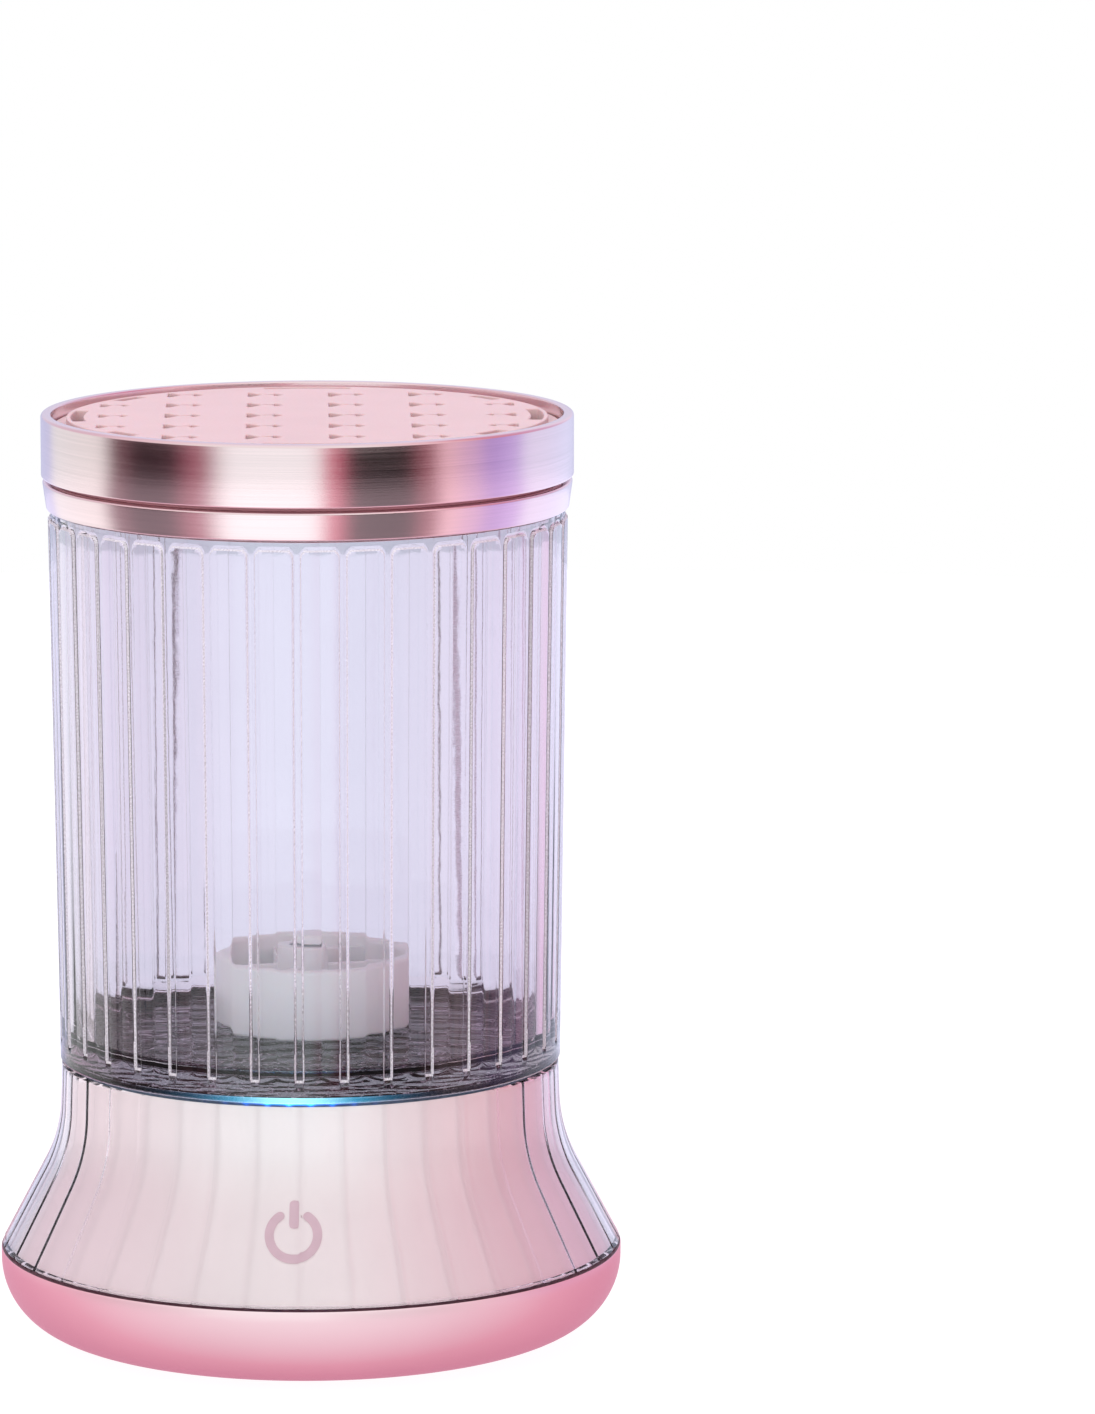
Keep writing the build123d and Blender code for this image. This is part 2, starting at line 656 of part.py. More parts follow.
# ---------------------------------------------------------------- Agitator

with BuildPart() as agitator:
    add(disc(AGITATOR_RADIUS, AGITATOR_BOTTOM, AGITATOR_DISC_TOP))
    add(
        turned(
            (AGITATOR_RADIUS - AGITATOR_WALL, AGITATOR_DISC_TOP),
            (AGITATOR_RADIUS, AGITATOR_DISC_TOP),
            (AGITATOR_RADIUS, AGITATOR_TOP - 0.8),
            (AGITATOR_RADIUS - 0.8, AGITATOR_TOP),
            (AGITATOR_RADIUS - 1.6, AGITATOR_TOP),
            (AGITATOR_RADIUS - AGITATOR_WALL, AGITATOR_TOP - 0.6),
        )
    )
    add(disc(AGITATOR_HUB_RADIUS, AGITATOR_DISC_TOP, AGITATOR_HUB_TOP))
    vane_length = AGITATOR_RADIUS - AGITATOR_HUB_RADIUS - 1
    with BuildSketch(Plane.XY.offset(AGITATOR_DISC_TOP)):
        with PolarLocations((AGITATOR_HUB_RADIUS + AGITATOR_RADIUS) / 2 - 1, AGITATOR_VANES):
            Rectangle(vane_length, VANE_THICKNESS)
    extrude(amount=VANE_HEIGHT)
    add(disc(COVER_RADIUS + LOOSE_FIT, AGITATOR_BOTTOM, COVER_TOP), mode=Mode.SUBTRACT)
    add(disc(BUSH_RADIUS, AGITATOR_BOTTOM, AGITATOR_HUB_TOP), mode=Mode.SUBTRACT)
    with PolarLocations(MAGNET_CIRCLE, MAGNETS):
        add(disc(MAGNET_RADIUS, COVER_TOP, COVER_TOP + MAGNET_HEIGHT), mode=Mode.SUBTRACT)
finish(agitator, "agitator")

with BuildPart() as agitator_magnets:
    with PolarLocations(MAGNET_CIRCLE, MAGNETS):
        add(disc(MAGNET_RADIUS - CLOSE_FIT, COVER_TOP, COVER_TOP + MAGNET_HEIGHT))
finish(agitator_magnets, "agitator_magnets")

with BuildPart() as magnet_cover:
    add(disc(COVER_RADIUS, AGITATOR_BOTTOM, COVER_TOP))
    add(disc(BUSH_RADIUS + LOOSE_FIT, AGITATOR_BOTTOM, COVER_TOP), mode=Mode.SUBTRACT)
finish(magnet_cover, "magnet_cover")

with BuildPart() as agitator_bush:
    add(disc(BUSH_RADIUS, AGITATOR_BOTTOM, AGITATOR_HUB_TOP))
    add(disc(AXLE_RADIUS + CLOSE_FIT, AGITATOR_BOTTOM, AGITATOR_HUB_TOP), mode=Mode.SUBTRACT)
finish(agitator_bush, "agitator_bush")

# ---------------------------------------------------------------- Lid

ring_inner = LID_RADIUS - LID_RING_WALL
with BuildPart() as lid_ring:
    add(
        turned(
            (ring_inner, LID_RING_BOTTOM),
            (LID_RADIUS - 0.4, LID_RING_BOTTOM),
            (LID_RADIUS, LID_RING_BOTTOM + 0.4),
            (LID_RADIUS, TOTAL_HEIGHT - 0.8),
            (LID_RADIUS - 0.8, TOTAL_HEIGHT),
            (ring_inner + 0.4, TOTAL_HEIGHT),
            (ring_inner, TOTAL_HEIGHT - 0.4),
        )
    )
finish(lid_ring, "lid_ring")

spigot_radius = CUP_MOUTH_RADIUS - SPIGOT_GAP
seal_groove = spigot_radius - SEAL_DEPTH
with BuildPart() as lid_carrier:
    add(
        turned(
            (SPIGOT_INNER, SPIGOT_BOTTOM),
            (spigot_radius, SPIGOT_BOTTOM),
            (spigot_radius, SEAL_BOTTOM),
            (seal_groove, SEAL_BOTTOM),
            (seal_groove, SEAL_TOP),
            (spigot_radius, SEAL_TOP),
            (spigot_radius, CUP_TOP),
            (CARRIER_RADIUS, CUP_TOP),
            (CARRIER_RADIUS, CARRIER_LEDGE),
            (CARRIER_LEDGE_RADIUS, CARRIER_LEDGE),
            (CARRIER_LEDGE_RADIUS, CARRIER_LEDGE - CARRIER_WALL),
            (CARRIER_RADIUS - CARRIER_WALL, CARRIER_LEDGE - CARRIER_WALL),
            (CARRIER_RADIUS - CARRIER_WALL, CUP_TOP + CARRIER_WALL),
            (SPIGOT_INNER, CUP_TOP + CARRIER_WALL),
        )
    )
finish(lid_carrier, "lid_carrier")

with BuildPart() as lid_gasket:
    add(
        turned(
            (seal_groove, SEAL_BOTTOM + LOOSE_FIT),
            (spigot_radius + LOOSE_FIT, SEAL_BOTTOM + LOOSE_FIT),
            (spigot_radius + LOOSE_FIT, SEAL_TOP - LOOSE_FIT),
            (seal_groove, SEAL_TOP - LOOSE_FIT),
        )
    )
finish(lid_gasket, "lid_gasket")

# ---------------------------------------------------------------- Silicone brush holder

# Brush places stand in rows. Each is a large and a small rounded triangle joined by a slit, so that
# the silicone between them gives way round a handle. Curved windows follow the edge.
rows = [(row - 2) * CELL_PITCH_Y for row in range(5)]
inner_columns = [(column - 1.5) * CELL_PITCH_X for column in range(4)]
inner_cells = [(x, y) for x in inner_columns for y in rows if hypot(x, y) < CELL_LIMIT]
edge_rows = rows[1:4]
windows = [(0, 11), (90, 11), (180, 11), (270, 11), (38, 5), (142, 5), (218, 5), (322, 5)]


def tapered_slot(width, length, x):
    """A rounded triangle, as long as length across the rows, that narrows towards +X."""
    with BuildSketch() as slot:
        with BuildLine():
            half = length / 2
            Polyline((x - width / 2, -half), (x + width / 2, 0), (x - width / 2, half), close=True)
        make_face()
        fillet(slot.vertices(), SLOT_ROUND)
    return slot.sketch


with BuildSketch() as cell:
    add(tapered_slot(*LARGE_SLOT, -CELL_SPREAD / 2))
    add(tapered_slot(*SMALL_SLOT, CELL_SPREAD / 2))
    Rectangle(CELL_SPREAD, CELL_SLIT)

with BuildSketch() as edge_cell:
    add(tapered_slot(*LARGE_EDGE_SLOT, -EDGE_SPREAD / 2))
    add(tapered_slot(*SMALL_EDGE_SLOT, EDGE_SPREAD / 2))
    Rectangle(EDGE_SPREAD, CELL_SLIT)

with BuildPart() as brush_holder:
    add(
        turned(
            (0, CARRIER_LEDGE),
            (HOLDER_RADIUS, CARRIER_LEDGE),
            (HOLDER_RADIUS, CARRIER_LEDGE + HOLDER_FLANGE),
            (HOLDER_PLATEAU_RADIUS, CARRIER_LEDGE + HOLDER_FLANGE),
            (HOLDER_PLATEAU_RADIUS, HOLDER_TOP - 0.3),
            (HOLDER_PLATEAU_RADIUS - 0.3, HOLDER_TOP),
            (0, HOLDER_TOP),
        )
    )
    with BuildSketch(Plane.XY.offset(CARRIER_LEDGE)):
        with Locations(*inner_cells):
            add(cell.sketch)
        with Locations(*[(-EDGE_COLUMN, y) for y in edge_rows]):
            add(edge_cell.sketch)
        with Locations(*[Location((EDGE_COLUMN, y), 180) for y in edge_rows]):
            add(edge_cell.sketch)
        for angle, half_span in windows:
            with BuildLine():
                CenterArc((0, 0), WINDOW_CIRCLE, angle - half_span, 2 * half_span)
            trace(line_width=WINDOW_WIDTH)
    extrude(amount=HOLDER_TOP - CARRIER_LEDGE, mode=Mode.SUBTRACT)
finish(brush_holder, "brush_holder")

print(len(finished), "nodes,", len(inner_cells) + 2 * len(edge_rows), "brush places")
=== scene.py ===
from math import atan2, ceil, cos, hypot, pi, radians, sin, tan

import bpy
import numpy as np
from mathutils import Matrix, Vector


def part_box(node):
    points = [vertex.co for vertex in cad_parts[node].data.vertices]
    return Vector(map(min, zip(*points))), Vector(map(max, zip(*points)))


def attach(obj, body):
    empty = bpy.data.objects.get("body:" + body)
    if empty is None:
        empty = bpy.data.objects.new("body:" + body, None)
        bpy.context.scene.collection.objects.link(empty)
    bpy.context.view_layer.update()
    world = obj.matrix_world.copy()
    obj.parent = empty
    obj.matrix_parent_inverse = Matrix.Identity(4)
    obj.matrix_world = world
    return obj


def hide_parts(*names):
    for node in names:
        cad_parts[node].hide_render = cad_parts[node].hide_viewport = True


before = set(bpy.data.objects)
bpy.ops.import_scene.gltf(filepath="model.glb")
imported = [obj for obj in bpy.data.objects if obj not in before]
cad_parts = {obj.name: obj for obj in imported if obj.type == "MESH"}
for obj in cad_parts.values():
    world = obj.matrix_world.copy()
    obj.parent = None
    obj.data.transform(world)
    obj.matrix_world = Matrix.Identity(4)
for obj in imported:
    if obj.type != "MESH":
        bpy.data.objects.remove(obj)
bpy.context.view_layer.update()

# An electric make-up brush cleaner in a plain white studio. Metres, +Z up, front towards -Y.
MM = 0.001

# ------------------------------------------------------------------ Sizes from the frame


def top_of(node):
    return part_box(node)[1][2]


def bottom_of(node):
    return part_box(node)[0][2]


def radius_of(node):
    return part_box(node)[1][0]


FLUTES = 36
FLUTE_START = radians(7.5)
FLUTE_PITCH = 2 * pi / FLUTES

BASE_RADIUS = radius_of("bottom_bowl")
BOWL_BOTTOM = bottom_of("bottom_bowl")
BOWL_TOP = bottom_of("skirt_inner")
SKIRT_BOTTOM = bottom_of("skirt_outer")
SKIRT_TOP = top_of("skirt_outer")
DECK_TOP = top_of("deck_plate")
RING_TOP = top_of("light_ring")
RING_RADIUS = radius_of("light_ring")
CUP_TOP = top_of("cup")
SHOULDER = bottom_of("cup_collar") - 0.3 * MM
LID_RADIUS = radius_of("lid_ring")
LID_TOP = top_of("lid_ring")
LID_BOTTOM = bottom_of("lid_ring")
HOLDER_TOP = top_of("brush_holder")
HOLDER_BOTTOM = bottom_of("brush_holder")
AGITATOR_RADIUS = radius_of("agitator")

# The flared skirt: a near-upright neck and a straight slope, joined by one bend.
NECK_RADIUS = BASE_RADIUS - 12.3 * MM
NECK_HEIGHT = 41.5 * MM
SKIRT_TOP_RADIUS = NECK_RADIUS - 0.5 * MM
SKIRT_BEND = 60 * MM
CLEAR_WALL = 2.0 * MM
PINK_DEPTH = 2.3 * MM
PINK_WALL = 2.2 * MM

CUP_BOTTOM = RING_TOP
CUP_BOTTOM_RADIUS = 51.2 * MM
SHOULDER_RADIUS = 52.8 * MM
CUP_MOUTH = 49.6 * MM
CUP_FLOOR = CUP_BOTTOM + 4.4 * MM

# ------------------------------------------------------------------ Mesh tools


def rounded(points, steps=5):
    """A closed outline from (x, y, radius) corners, each corner rounded by an arc of that radius."""
    outline = []
    for i, (x, y, radius) in enumerate(points):
        here = Vector((x, y))
        before = Vector(points[i - 1][:2]) - here
        after = Vector(points[(i + 1) % len(points)][:2]) - here
        if radius <= 0:
            outline.append((x, y))
            continue
        half = before.angle(after) / 2
        reach = min(radius / tan(half), 0.49 * before.length, 0.49 * after.length)
        radius = reach * tan(half)
        start = here + before.normalized() * reach
        end = here + after.normalized() * reach
        centre = here + (before.normalized() + after.normalized()).normalized() * (radius / sin(half))
        first = start - centre
        last = end - centre
        turn = atan2(first.x * last.y - first.y * last.x, first.dot(last))
        for step in range(steps + 1):
            angle = turn * step / steps
            spoke = Vector((
                first.x * cos(angle) - first.y * sin(angle),
                first.x * sin(angle) + first.y * cos(angle),
            ))
            outline.append(tuple(centre + spoke))
    return outline


def bend(points, radius, steps=14):
    """An open (radius, height) line through three points, the middle one rounded."""
    top, middle, bottom = points
    whole = rounded([(*top, 0), (*middle, radius), (*bottom, 0)], steps)
    return whole


def divided(line, step):
    """The same line with points no further apart than step."""
    result = [line[0]]
    for a, b in zip(line, line[1:]):
        count = max(1, ceil(hypot(b[0] - a[0], b[1] - a[1]) / step))
        for i in range(1, count + 1):
            result.append((a[0] + (b[0] - a[0]) * i / count, a[1] + (b[1] - a[1]) * i / count))
    return result


def new_object(name, vertices, faces, sharp=38):
    """A smooth-shaded object whose edges stay sharp above an angle in degrees."""
    mesh = bpy.data.meshes.new(name)
    mesh.from_pydata([tuple(v) for v in vertices], [], faces)
    mesh.validate()
    mesh.polygons.foreach_set("use_smooth", [True] * len(mesh.polygons))
    mesh.set_sharp_from_angle(angle=radians(sharp))
    made = bpy.data.objects.new(name, mesh)
    bpy.context.scene.collection.objects.link(made)
    return made


def turned_data(outline, angles, closed=True, shift=None):
    """Vertices and faces of a (radius, height) outline turned about Z, facing out whichever way round the
    outline runs. shift(r, z, angles) moves each ring's points in or out. Points on the axis are shared."""
    vertices = []
    rings = []
    columns = len(angles)
    cosines, sines = np.cos(angles), np.sin(angles)
    for r, z in outline:
        if r < 1e-7:
            rings.append([len(vertices)] * columns)
            vertices.append((0.0, 0.0, z))
            continue
        radii = np.full(columns, r) if shift is None else r + shift(r, z, angles)
        rings.append(list(range(len(vertices), len(vertices) + columns)))
        vertices.extend(zip(radii * cosines, radii * sines, [z] * columns))
    faces = []
    pairs = list(zip(rings, rings[1:]))
    if closed:
        pairs.append((rings[-1], rings[0]))
    for low, high in pairs:
        if low[0] == low[1] and high[0] == high[1]:
            continue
        for j in range(columns):
            k = (j + 1) % columns
            corners = [low[j], low[k], high[k], high[j]]
            faces.append(tuple(dict.fromkeys(corners)))
    ends = zip(outline, outline[1:] + outline[:1])
    if sum(a[0] * b[1] - b[0] * a[1] for a, b in ends) < 0:
        faces = [tuple(reversed(face)) for face in faces]
    return vertices, faces


def even_angles(count):
    return np.arange(count) * 2 * pi / count


def turned(name, outline, segments=240, closed=True, shift=None, angles=None, sharp=38):
    angles = even_angles(segments) if angles is None else angles
    return new_object(name, *turned_data(outline, angles, closed, shift), sharp=sharp)


def merged(name, parts, sharp=38):
    """One object from several (vertices, faces) lists."""
    vertices, faces = [], []
    for part_vertices, part_faces in parts:
        start = len(vertices)
        vertices.extend(part_vertices)
        faces.extend(tuple(i + start for i in face) for face in part_faces)
    return new_object(name, vertices, faces, sharp)


def prism(outline, low, high, edge=0.0):
    """Vertices and faces of an upright prism with its rims drawn in by edge."""
    centre_x = sum(x for x, _ in outline) / len(outline)
    centre_y = sum(y for _, y in outline) / len(outline)

    def ring(z, inset):
        points = []
        for x, y in outline:
            away = Vector((x - centre_x, y - centre_y))
            scale = max(0.0, 1 - inset / max(away.length, 1e-9))
            points.append((centre_x + away.x * scale, centre_y + away.y * scale, z))
        return points

    levels = [ring(low, edge), ring(low + edge, 0), ring(high - edge, 0), ring(high, edge)]
    if edge == 0:
        levels = [ring(low, 0), ring(high, 0)]
    vertices = [v for level in levels for v in level]
    count = len(outline)
    faces = []
    for level in range(len(levels) - 1):
        for j in range(count):
            k = (j + 1) % count
            a, b = level * count, (level + 1) * count
            faces.append((a + j, a + k, b + k, b + j))
    faces.append(tuple(reversed(range(count))))
    faces.append(tuple(range((len(levels) - 1) * count, len(levels) * count)))
    return vertices, faces


# ------------------------------------------------------------------ Material tools


class Nodes:
    """A small helper that adds and joins shader nodes in one tree."""

    def __init__(self, tree):
        self.tree = tree

    def add(self, kind, inputs=None, **settings):
        node = self.tree.nodes.new(kind)
        for key, value in settings.items():
            setattr(node, key, value)
        for key, value in (inputs or {}).items():
            socket = node.inputs[key]
            if isinstance(value, bpy.types.NodeSocket):
                self.tree.links.new(value, socket)
            else:
                socket.default_value = value
        return node

    def maths(self, operation, first, second=0.0, clamp=False):
        inputs = {0: first, 1: second}
        return self.add("ShaderNodeMath", inputs, operation=operation, use_clamp=clamp).outputs[0]

    def object_point(self):
        """The x, y and z of the point in the frame, as three outputs."""
        place = self.add("ShaderNodeTexCoord").outputs["Object"]
        return self.add("ShaderNodeSeparateXYZ", {0: place}).outputs

    def from_axis(self, point):
        """Distance of a point from the Z axis."""
        squares = [self.maths("MULTIPLY", point[i], point[i]) for i in (0, 1)]
        return self.maths("SQRT", self.maths("ADD", *squares))

    def position(self, scale=(1, 1, 1)):
        """The point in the frame, stretched by scale."""
        place = self.add("ShaderNodeTexCoord").outputs["Object"]
        return self.add("ShaderNodeMapping", {"Vector": place, "Scale": scale}).outputs[0]

    def noise(self, scale, stretch=(1, 1, 1), detail=3.0, roughness=0.5):
        return self.add(
            "ShaderNodeTexNoise",
            {"Vector": self.position(stretch), "Scale": scale, "Detail": detail, "Roughness": roughness},
        ).outputs["Fac"]

    def ramp(self, factor, stops, interpolation="LINEAR"):
        """A colour ramp from (position, colour) stops."""
        node = self.add("ShaderNodeValToRGB", {"Fac": factor})
        ramp = node.color_ramp
        ramp.interpolation = interpolation
        while len(ramp.elements) < len(stops):
            ramp.elements.new(1.0)
        for element, (position, colour) in zip(ramp.elements, stops):
            element.position = position
            element.color = (*colour, 1.0)
        return node.outputs[0]

    def between(self, factor, low, high):
        """A value that runs from low to high as factor runs from 0.3 to 0.7."""
        return self.add(
            "ShaderNodeMapRange",
            {"Value": factor, "From Min": 0.3, "From Max": 0.7, "To Min": low, "To Max": high},
        ).outputs[0]

    def bump(self, height, strength, distance):
        return self.add(
            "ShaderNodeBump", {"Height": height, "Strength": strength, "Distance": distance}
        ).outputs[0]


def linear(colour):
    """Linear light from a display colour."""
    return tuple(c / 12.92 if c <= 0.04045 else ((c + 0.055) / 1.055) ** 2.4 for c in colour)


def shaded(colour, amount):
    return tuple(min(1.0, c * amount) for c in colour)


def surface(name, colour, roughness, variation=0.05, mottle=40, grain=2500, grain_depth=0.02, **sockets):
    """A Principled material whose colour, roughness and relief vary with fine noise."""
    material = bpy.data.materials.new(name)
    material.use_nodes = True
    nodes = Nodes(material.node_tree)
    shader = material.node_tree.nodes["Principled BSDF"]
    base = linear(colour)
    clouds = nodes.noise(mottle, detail=4)
    tint = nodes.ramp(clouds, [(0.3, shaded(base, 1 - variation)), (0.7, shaded(base, 1 + variation))])
    fine = nodes.noise(grain, detail=2)
    links = material.node_tree.links
    links.new(tint, shader.inputs["Base Color"])
    links.new(nodes.between(fine, *roughness), shader.inputs["Roughness"])
    links.new(nodes.bump(fine, grain_depth, 0.0004), shader.inputs["Normal"])
    for socket, value in sockets.items():
        shader.inputs[socket.replace("_", " ")].default_value = value
    return material


def satin_metal(name, colour, roughness=(0.13, 0.21), streak=(14, 14, 2600)):
    """Blasted and brushed metal: fine streaks round the axis, over a very fine grain."""
    material = bpy.data.materials.new(name)
    material.use_nodes = True
    nodes = Nodes(material.node_tree)
    shader = material.node_tree.nodes["Principled BSDF"]
    base = linear(colour)
    streaks = nodes.noise(1.0, streak, detail=3)
    grain = nodes.noise(5200, detail=2)
    tint = nodes.ramp(streaks, [(0.3, shaded(base, 0.95)), (0.7, shaded(base, 1.04))])
    both = nodes.maths("ADD", nodes.maths("MULTIPLY", streaks, 0.5), nodes.maths("MULTIPLY", grain, 0.5))
    links = material.node_tree.links
    links.new(tint, shader.inputs["Base Color"])
    links.new(nodes.between(both, *roughness), shader.inputs["Roughness"])
    links.new(nodes.bump(both, 0.05, 0.0003), shader.inputs["Normal"])
    shader.inputs["Metallic"].default_value = 1.0
    return material


def clear_plastic(name, tint, shadow=0.86, frost=(0.0, 0.035), index=1.49):
    """Clear moulded plastic: smooth, faintly wavy, and open to lamps, so that it casts a light shadow."""
    material = bpy.data.materials.new(name)
    material.use_nodes = True
    nodes = Nodes(material.node_tree)
    shader = material.node_tree.nodes["Principled BSDF"]
    links = material.node_tree.links
    flow = nodes.noise(60, detail=3)
    base = linear(tint)
    colour = nodes.ramp(flow, [(0.3, shaded(base, 0.985)), (0.7, shaded(base, 1.0))])
    links.new(colour, shader.inputs["Base Color"])
    links.new(nodes.between(nodes.noise(1500, detail=2), *frost), shader.inputs["Roughness"])
    links.new(nodes.bump(flow, 0.04, 0.0005), shader.inputs["Normal"])
    shader.inputs["Transmission Weight"].default_value = 1.0
    shader.inputs["IOR"].default_value = index
    shade = (*linear((shadow, shadow, shadow * 1.04)), 1.0)
    through = nodes.add("ShaderNodeBsdfTransparent", {"Color": shade})
    is_shadow = nodes.add("ShaderNodeLightPath").outputs["Is Shadow Ray"]
    mix = nodes.add("ShaderNodeMixShader", {0: is_shadow, 1: shader.outputs[0], 2: through.outputs[0]})
    links.new(mix.outputs[0], material.node_tree.nodes["Material Output"].inputs["Surface"])
    return material


# ------------------------------------------------------------------ Materials

FRONT_TURN = radians(-93.8)
ROSE = (0.95, 0.87, 0.88)

bowl_pink = surface("bowl_pink", (0.95, 0.89, 0.90), (0.28, 0.36), 0.02, 30, 2200, 0.015,
                    Metallic=0.3, Coat_Weight=0.2, Coat_Roughness=0.15)


def painted_shade_by_facing(material, stops):
    """Paints shade into a material's colour: multiplies it by a ramp over how far the face turns from the
    viewer.
    """
    nodes = Nodes(material.node_tree)
    colour = material.node_tree.nodes["Principled BSDF"].inputs["Base Color"]
    turned_away = nodes.add("ShaderNodeLayerWeight", {"Blend": 0.5}).outputs["Facing"]
    parts = {0: colour.links[0].from_socket, 1: nodes.ramp(turned_away, stops)}
    product = nodes.add("ShaderNodeVectorMath", parts, operation="MULTIPLY").outputs[0]
    material.node_tree.links.new(product, colour)


# Painted shade: the bowl's pink deepens and darkens where its face turns from the viewer, towards its sides
# and bottom.
painted_shade_by_facing(bowl_pink, [(0.0, (1.0, 1.0, 1.0)), (0.12, (0.98, 0.87, 0.90)), (0.40, (0.92, 0.54, 0.64)),
                     (0.85, (0.76, 0.30, 0.44))])
# Painted shade: a dark colour for the gap between the bowl and the skirt.
painted_seam_shade = surface("painted_seam_shade", (0.30, 0.16, 0.20), (0.35, 0.5), 0.3, 500, 2600, 0.05)
skirt_pink = surface("skirt_pink", (0.99, 0.955, 0.95), (0.46, 0.56), 0.015, 30, 2200, 0.015, Metallic=0.75)
clear_cup = clear_plastic("clear_cup", (0.985, 0.983, 1.0))
# Painted highlight: a whiter, part-frosted plastic for the cup's channel edges, standing for the bright lines
# they show.
painted_edge_glint = surface("painted_edge_glint", (0.97, 0.97, 1.0), (0.2, 0.35), 0.02, 60, 2400, 0.03,
                     Transmission_Weight=0.35, IOR=1.49)
clear_floor = clear_plastic("clear_floor", (0.96, 0.93, 0.95), index=1.04)
clear_edge = clear_plastic("clear_edge", (0.97, 0.97, 1.0), frost=(0.1, 0.2))
clear_skirt = clear_plastic("clear_skirt", (0.997, 0.993, 1.0), frost=(0.06, 0.12), index=1.25)
deck_dark = surface("deck_dark", (0.13, 0.05, 0.075), (0.12, 0.3), 0.35, 260, 1800, 0.06)
under_dark = surface("under_dark", (0.15, 0.06, 0.085), (0.1, 0.22), 0.5, 300, 1800, 0.0)


def rippled(material):
    """Gives a dark material deep ripples and thin pale streaks, which are painted highlights."""
    nodes = Nodes(material.node_tree)
    shader = material.node_tree.nodes["Principled BSDF"]
    crest = nodes.maths("ABSOLUTE", nodes.maths("SUBTRACT", nodes.noise(310, detail=2), 0.5))
    # Painted highlights: pale streaks along the noise's crests, over near-black.
    streaks = nodes.ramp(crest, [(0.0, (0.75, 0.72, 0.80)), (0.012, (0.22, 0.17, 0.21)),
                                 (0.03, (0.010, 0.003, 0.005)), (0.3, (0.02, 0.007, 0.010))])
    ripple = nodes.bump(nodes.noise(230, detail=1, roughness=0.3), 1.0, 6 * MM)
    shader.inputs["Specular IOR Level"].default_value = 0.1
    material.node_tree.links.new(streaks, shader.inputs["Base Color"])
    material.node_tree.links.new(ripple, shader.inputs["Normal"])


rippled(under_dark)
icon_print = surface("icon_print", (0.88, 0.76, 0.79), (0.4, 0.5), 0.03, 300, 3000, 0.03)
rose_metal = satin_metal("rose_metal", ROSE)
silicone = surface("silicone", (0.825, 0.72, 0.725), (0.42, 0.58), 0.02, 70, 2600, 0.05,
                   Subsurface_Weight=0.15, Subsurface_Scale=0.002, Sheen_Weight=0.08)
carrier_plastic = surface("carrier_plastic", (0.90, 0.66, 0.70), (0.3, 0.42), 0.03)
white_plastic = surface("white_plastic", (0.95, 0.95, 0.95), (0.28, 0.4), 0.02, 60, 2400, 0.03,
                        Subsurface_Weight=0.1, Subsurface_Scale=0.002)
grey_plastic = surface("grey_plastic", (0.80, 0.81, 0.83), (0.35, 0.5), 0.04)
steel = satin_metal("steel", (0.80, 0.80, 0.82), (0.15, 0.28), (400, 400, 1200))
magnet_plate = satin_metal("magnet_plate", (0.84, 0.84, 0.87), (0.08, 0.16), (900, 900, 900))
board_green = surface("board_green", (0.10, 0.42, 0.26), (0.3, 0.45), 0.12, 500, 1800, 0.08)
chip_black = surface("chip_black", (0.10, 0.10, 0.11), (0.45, 0.6), 0.15, 700, 3000, 0.08)
led_lens = surface("led_lens", (0.96, 0.95, 0.80), (0.2, 0.3), 0.04, 500)
copper = satin_metal("copper", (0.90, 0.62, 0.45), (0.25, 0.4), (900, 900, 300))
cell_foil = satin_metal("cell_foil", (0.82, 0.83, 0.86), (0.28, 0.45), (120, 120, 200))
inner_plastic = surface("inner_plastic", (0.86, 0.86, 0.87), (0.42, 0.56), 0.05)
foot_rubber = surface("foot_rubber", (0.62, 0.56, 0.58), (0.6, 0.75), 0.08, 300, 1800, 0.15)


def front_glow(nodes, point, fall):
    """The angle of a point about the axis, and a glow that falls away from the power symbol's angle."""
    angle = nodes.maths("ARCTAN2", point[1], point[0])
    away = nodes.maths("ABSOLUTE", nodes.maths("SUBTRACT", angle, FRONT_TURN))
    fading = nodes.maths("MULTIPLY", nodes.maths("POWER", away, 2.0), -fall)
    return angle, nodes.maths("EXPONENT", fading)


def painted_foot_glow(material):
    """Paints a glow into the cup's clear foot as emission, standing for the light ring's light carried up
    into it.
    """
    nodes = Nodes(material.node_tree)
    glow = front_glow(nodes, nodes.object_point(), 9)[1]
    shader = material.node_tree.nodes["Principled BSDF"]
    colour = nodes.ramp(glow, [(0.0, (0.02, 0.10, 0.22)), (0.6, (0.05, 0.30, 0.50)),
                               (1.0, (0.25, 0.65, 0.80))])
    material.node_tree.links.new(colour, shader.inputs["Emission Color"])
    material.node_tree.links.new(nodes.maths("MULTIPLY", glow, 1.8), shader.inputs["Emission Strength"])


painted_foot_glow(clear_edge)


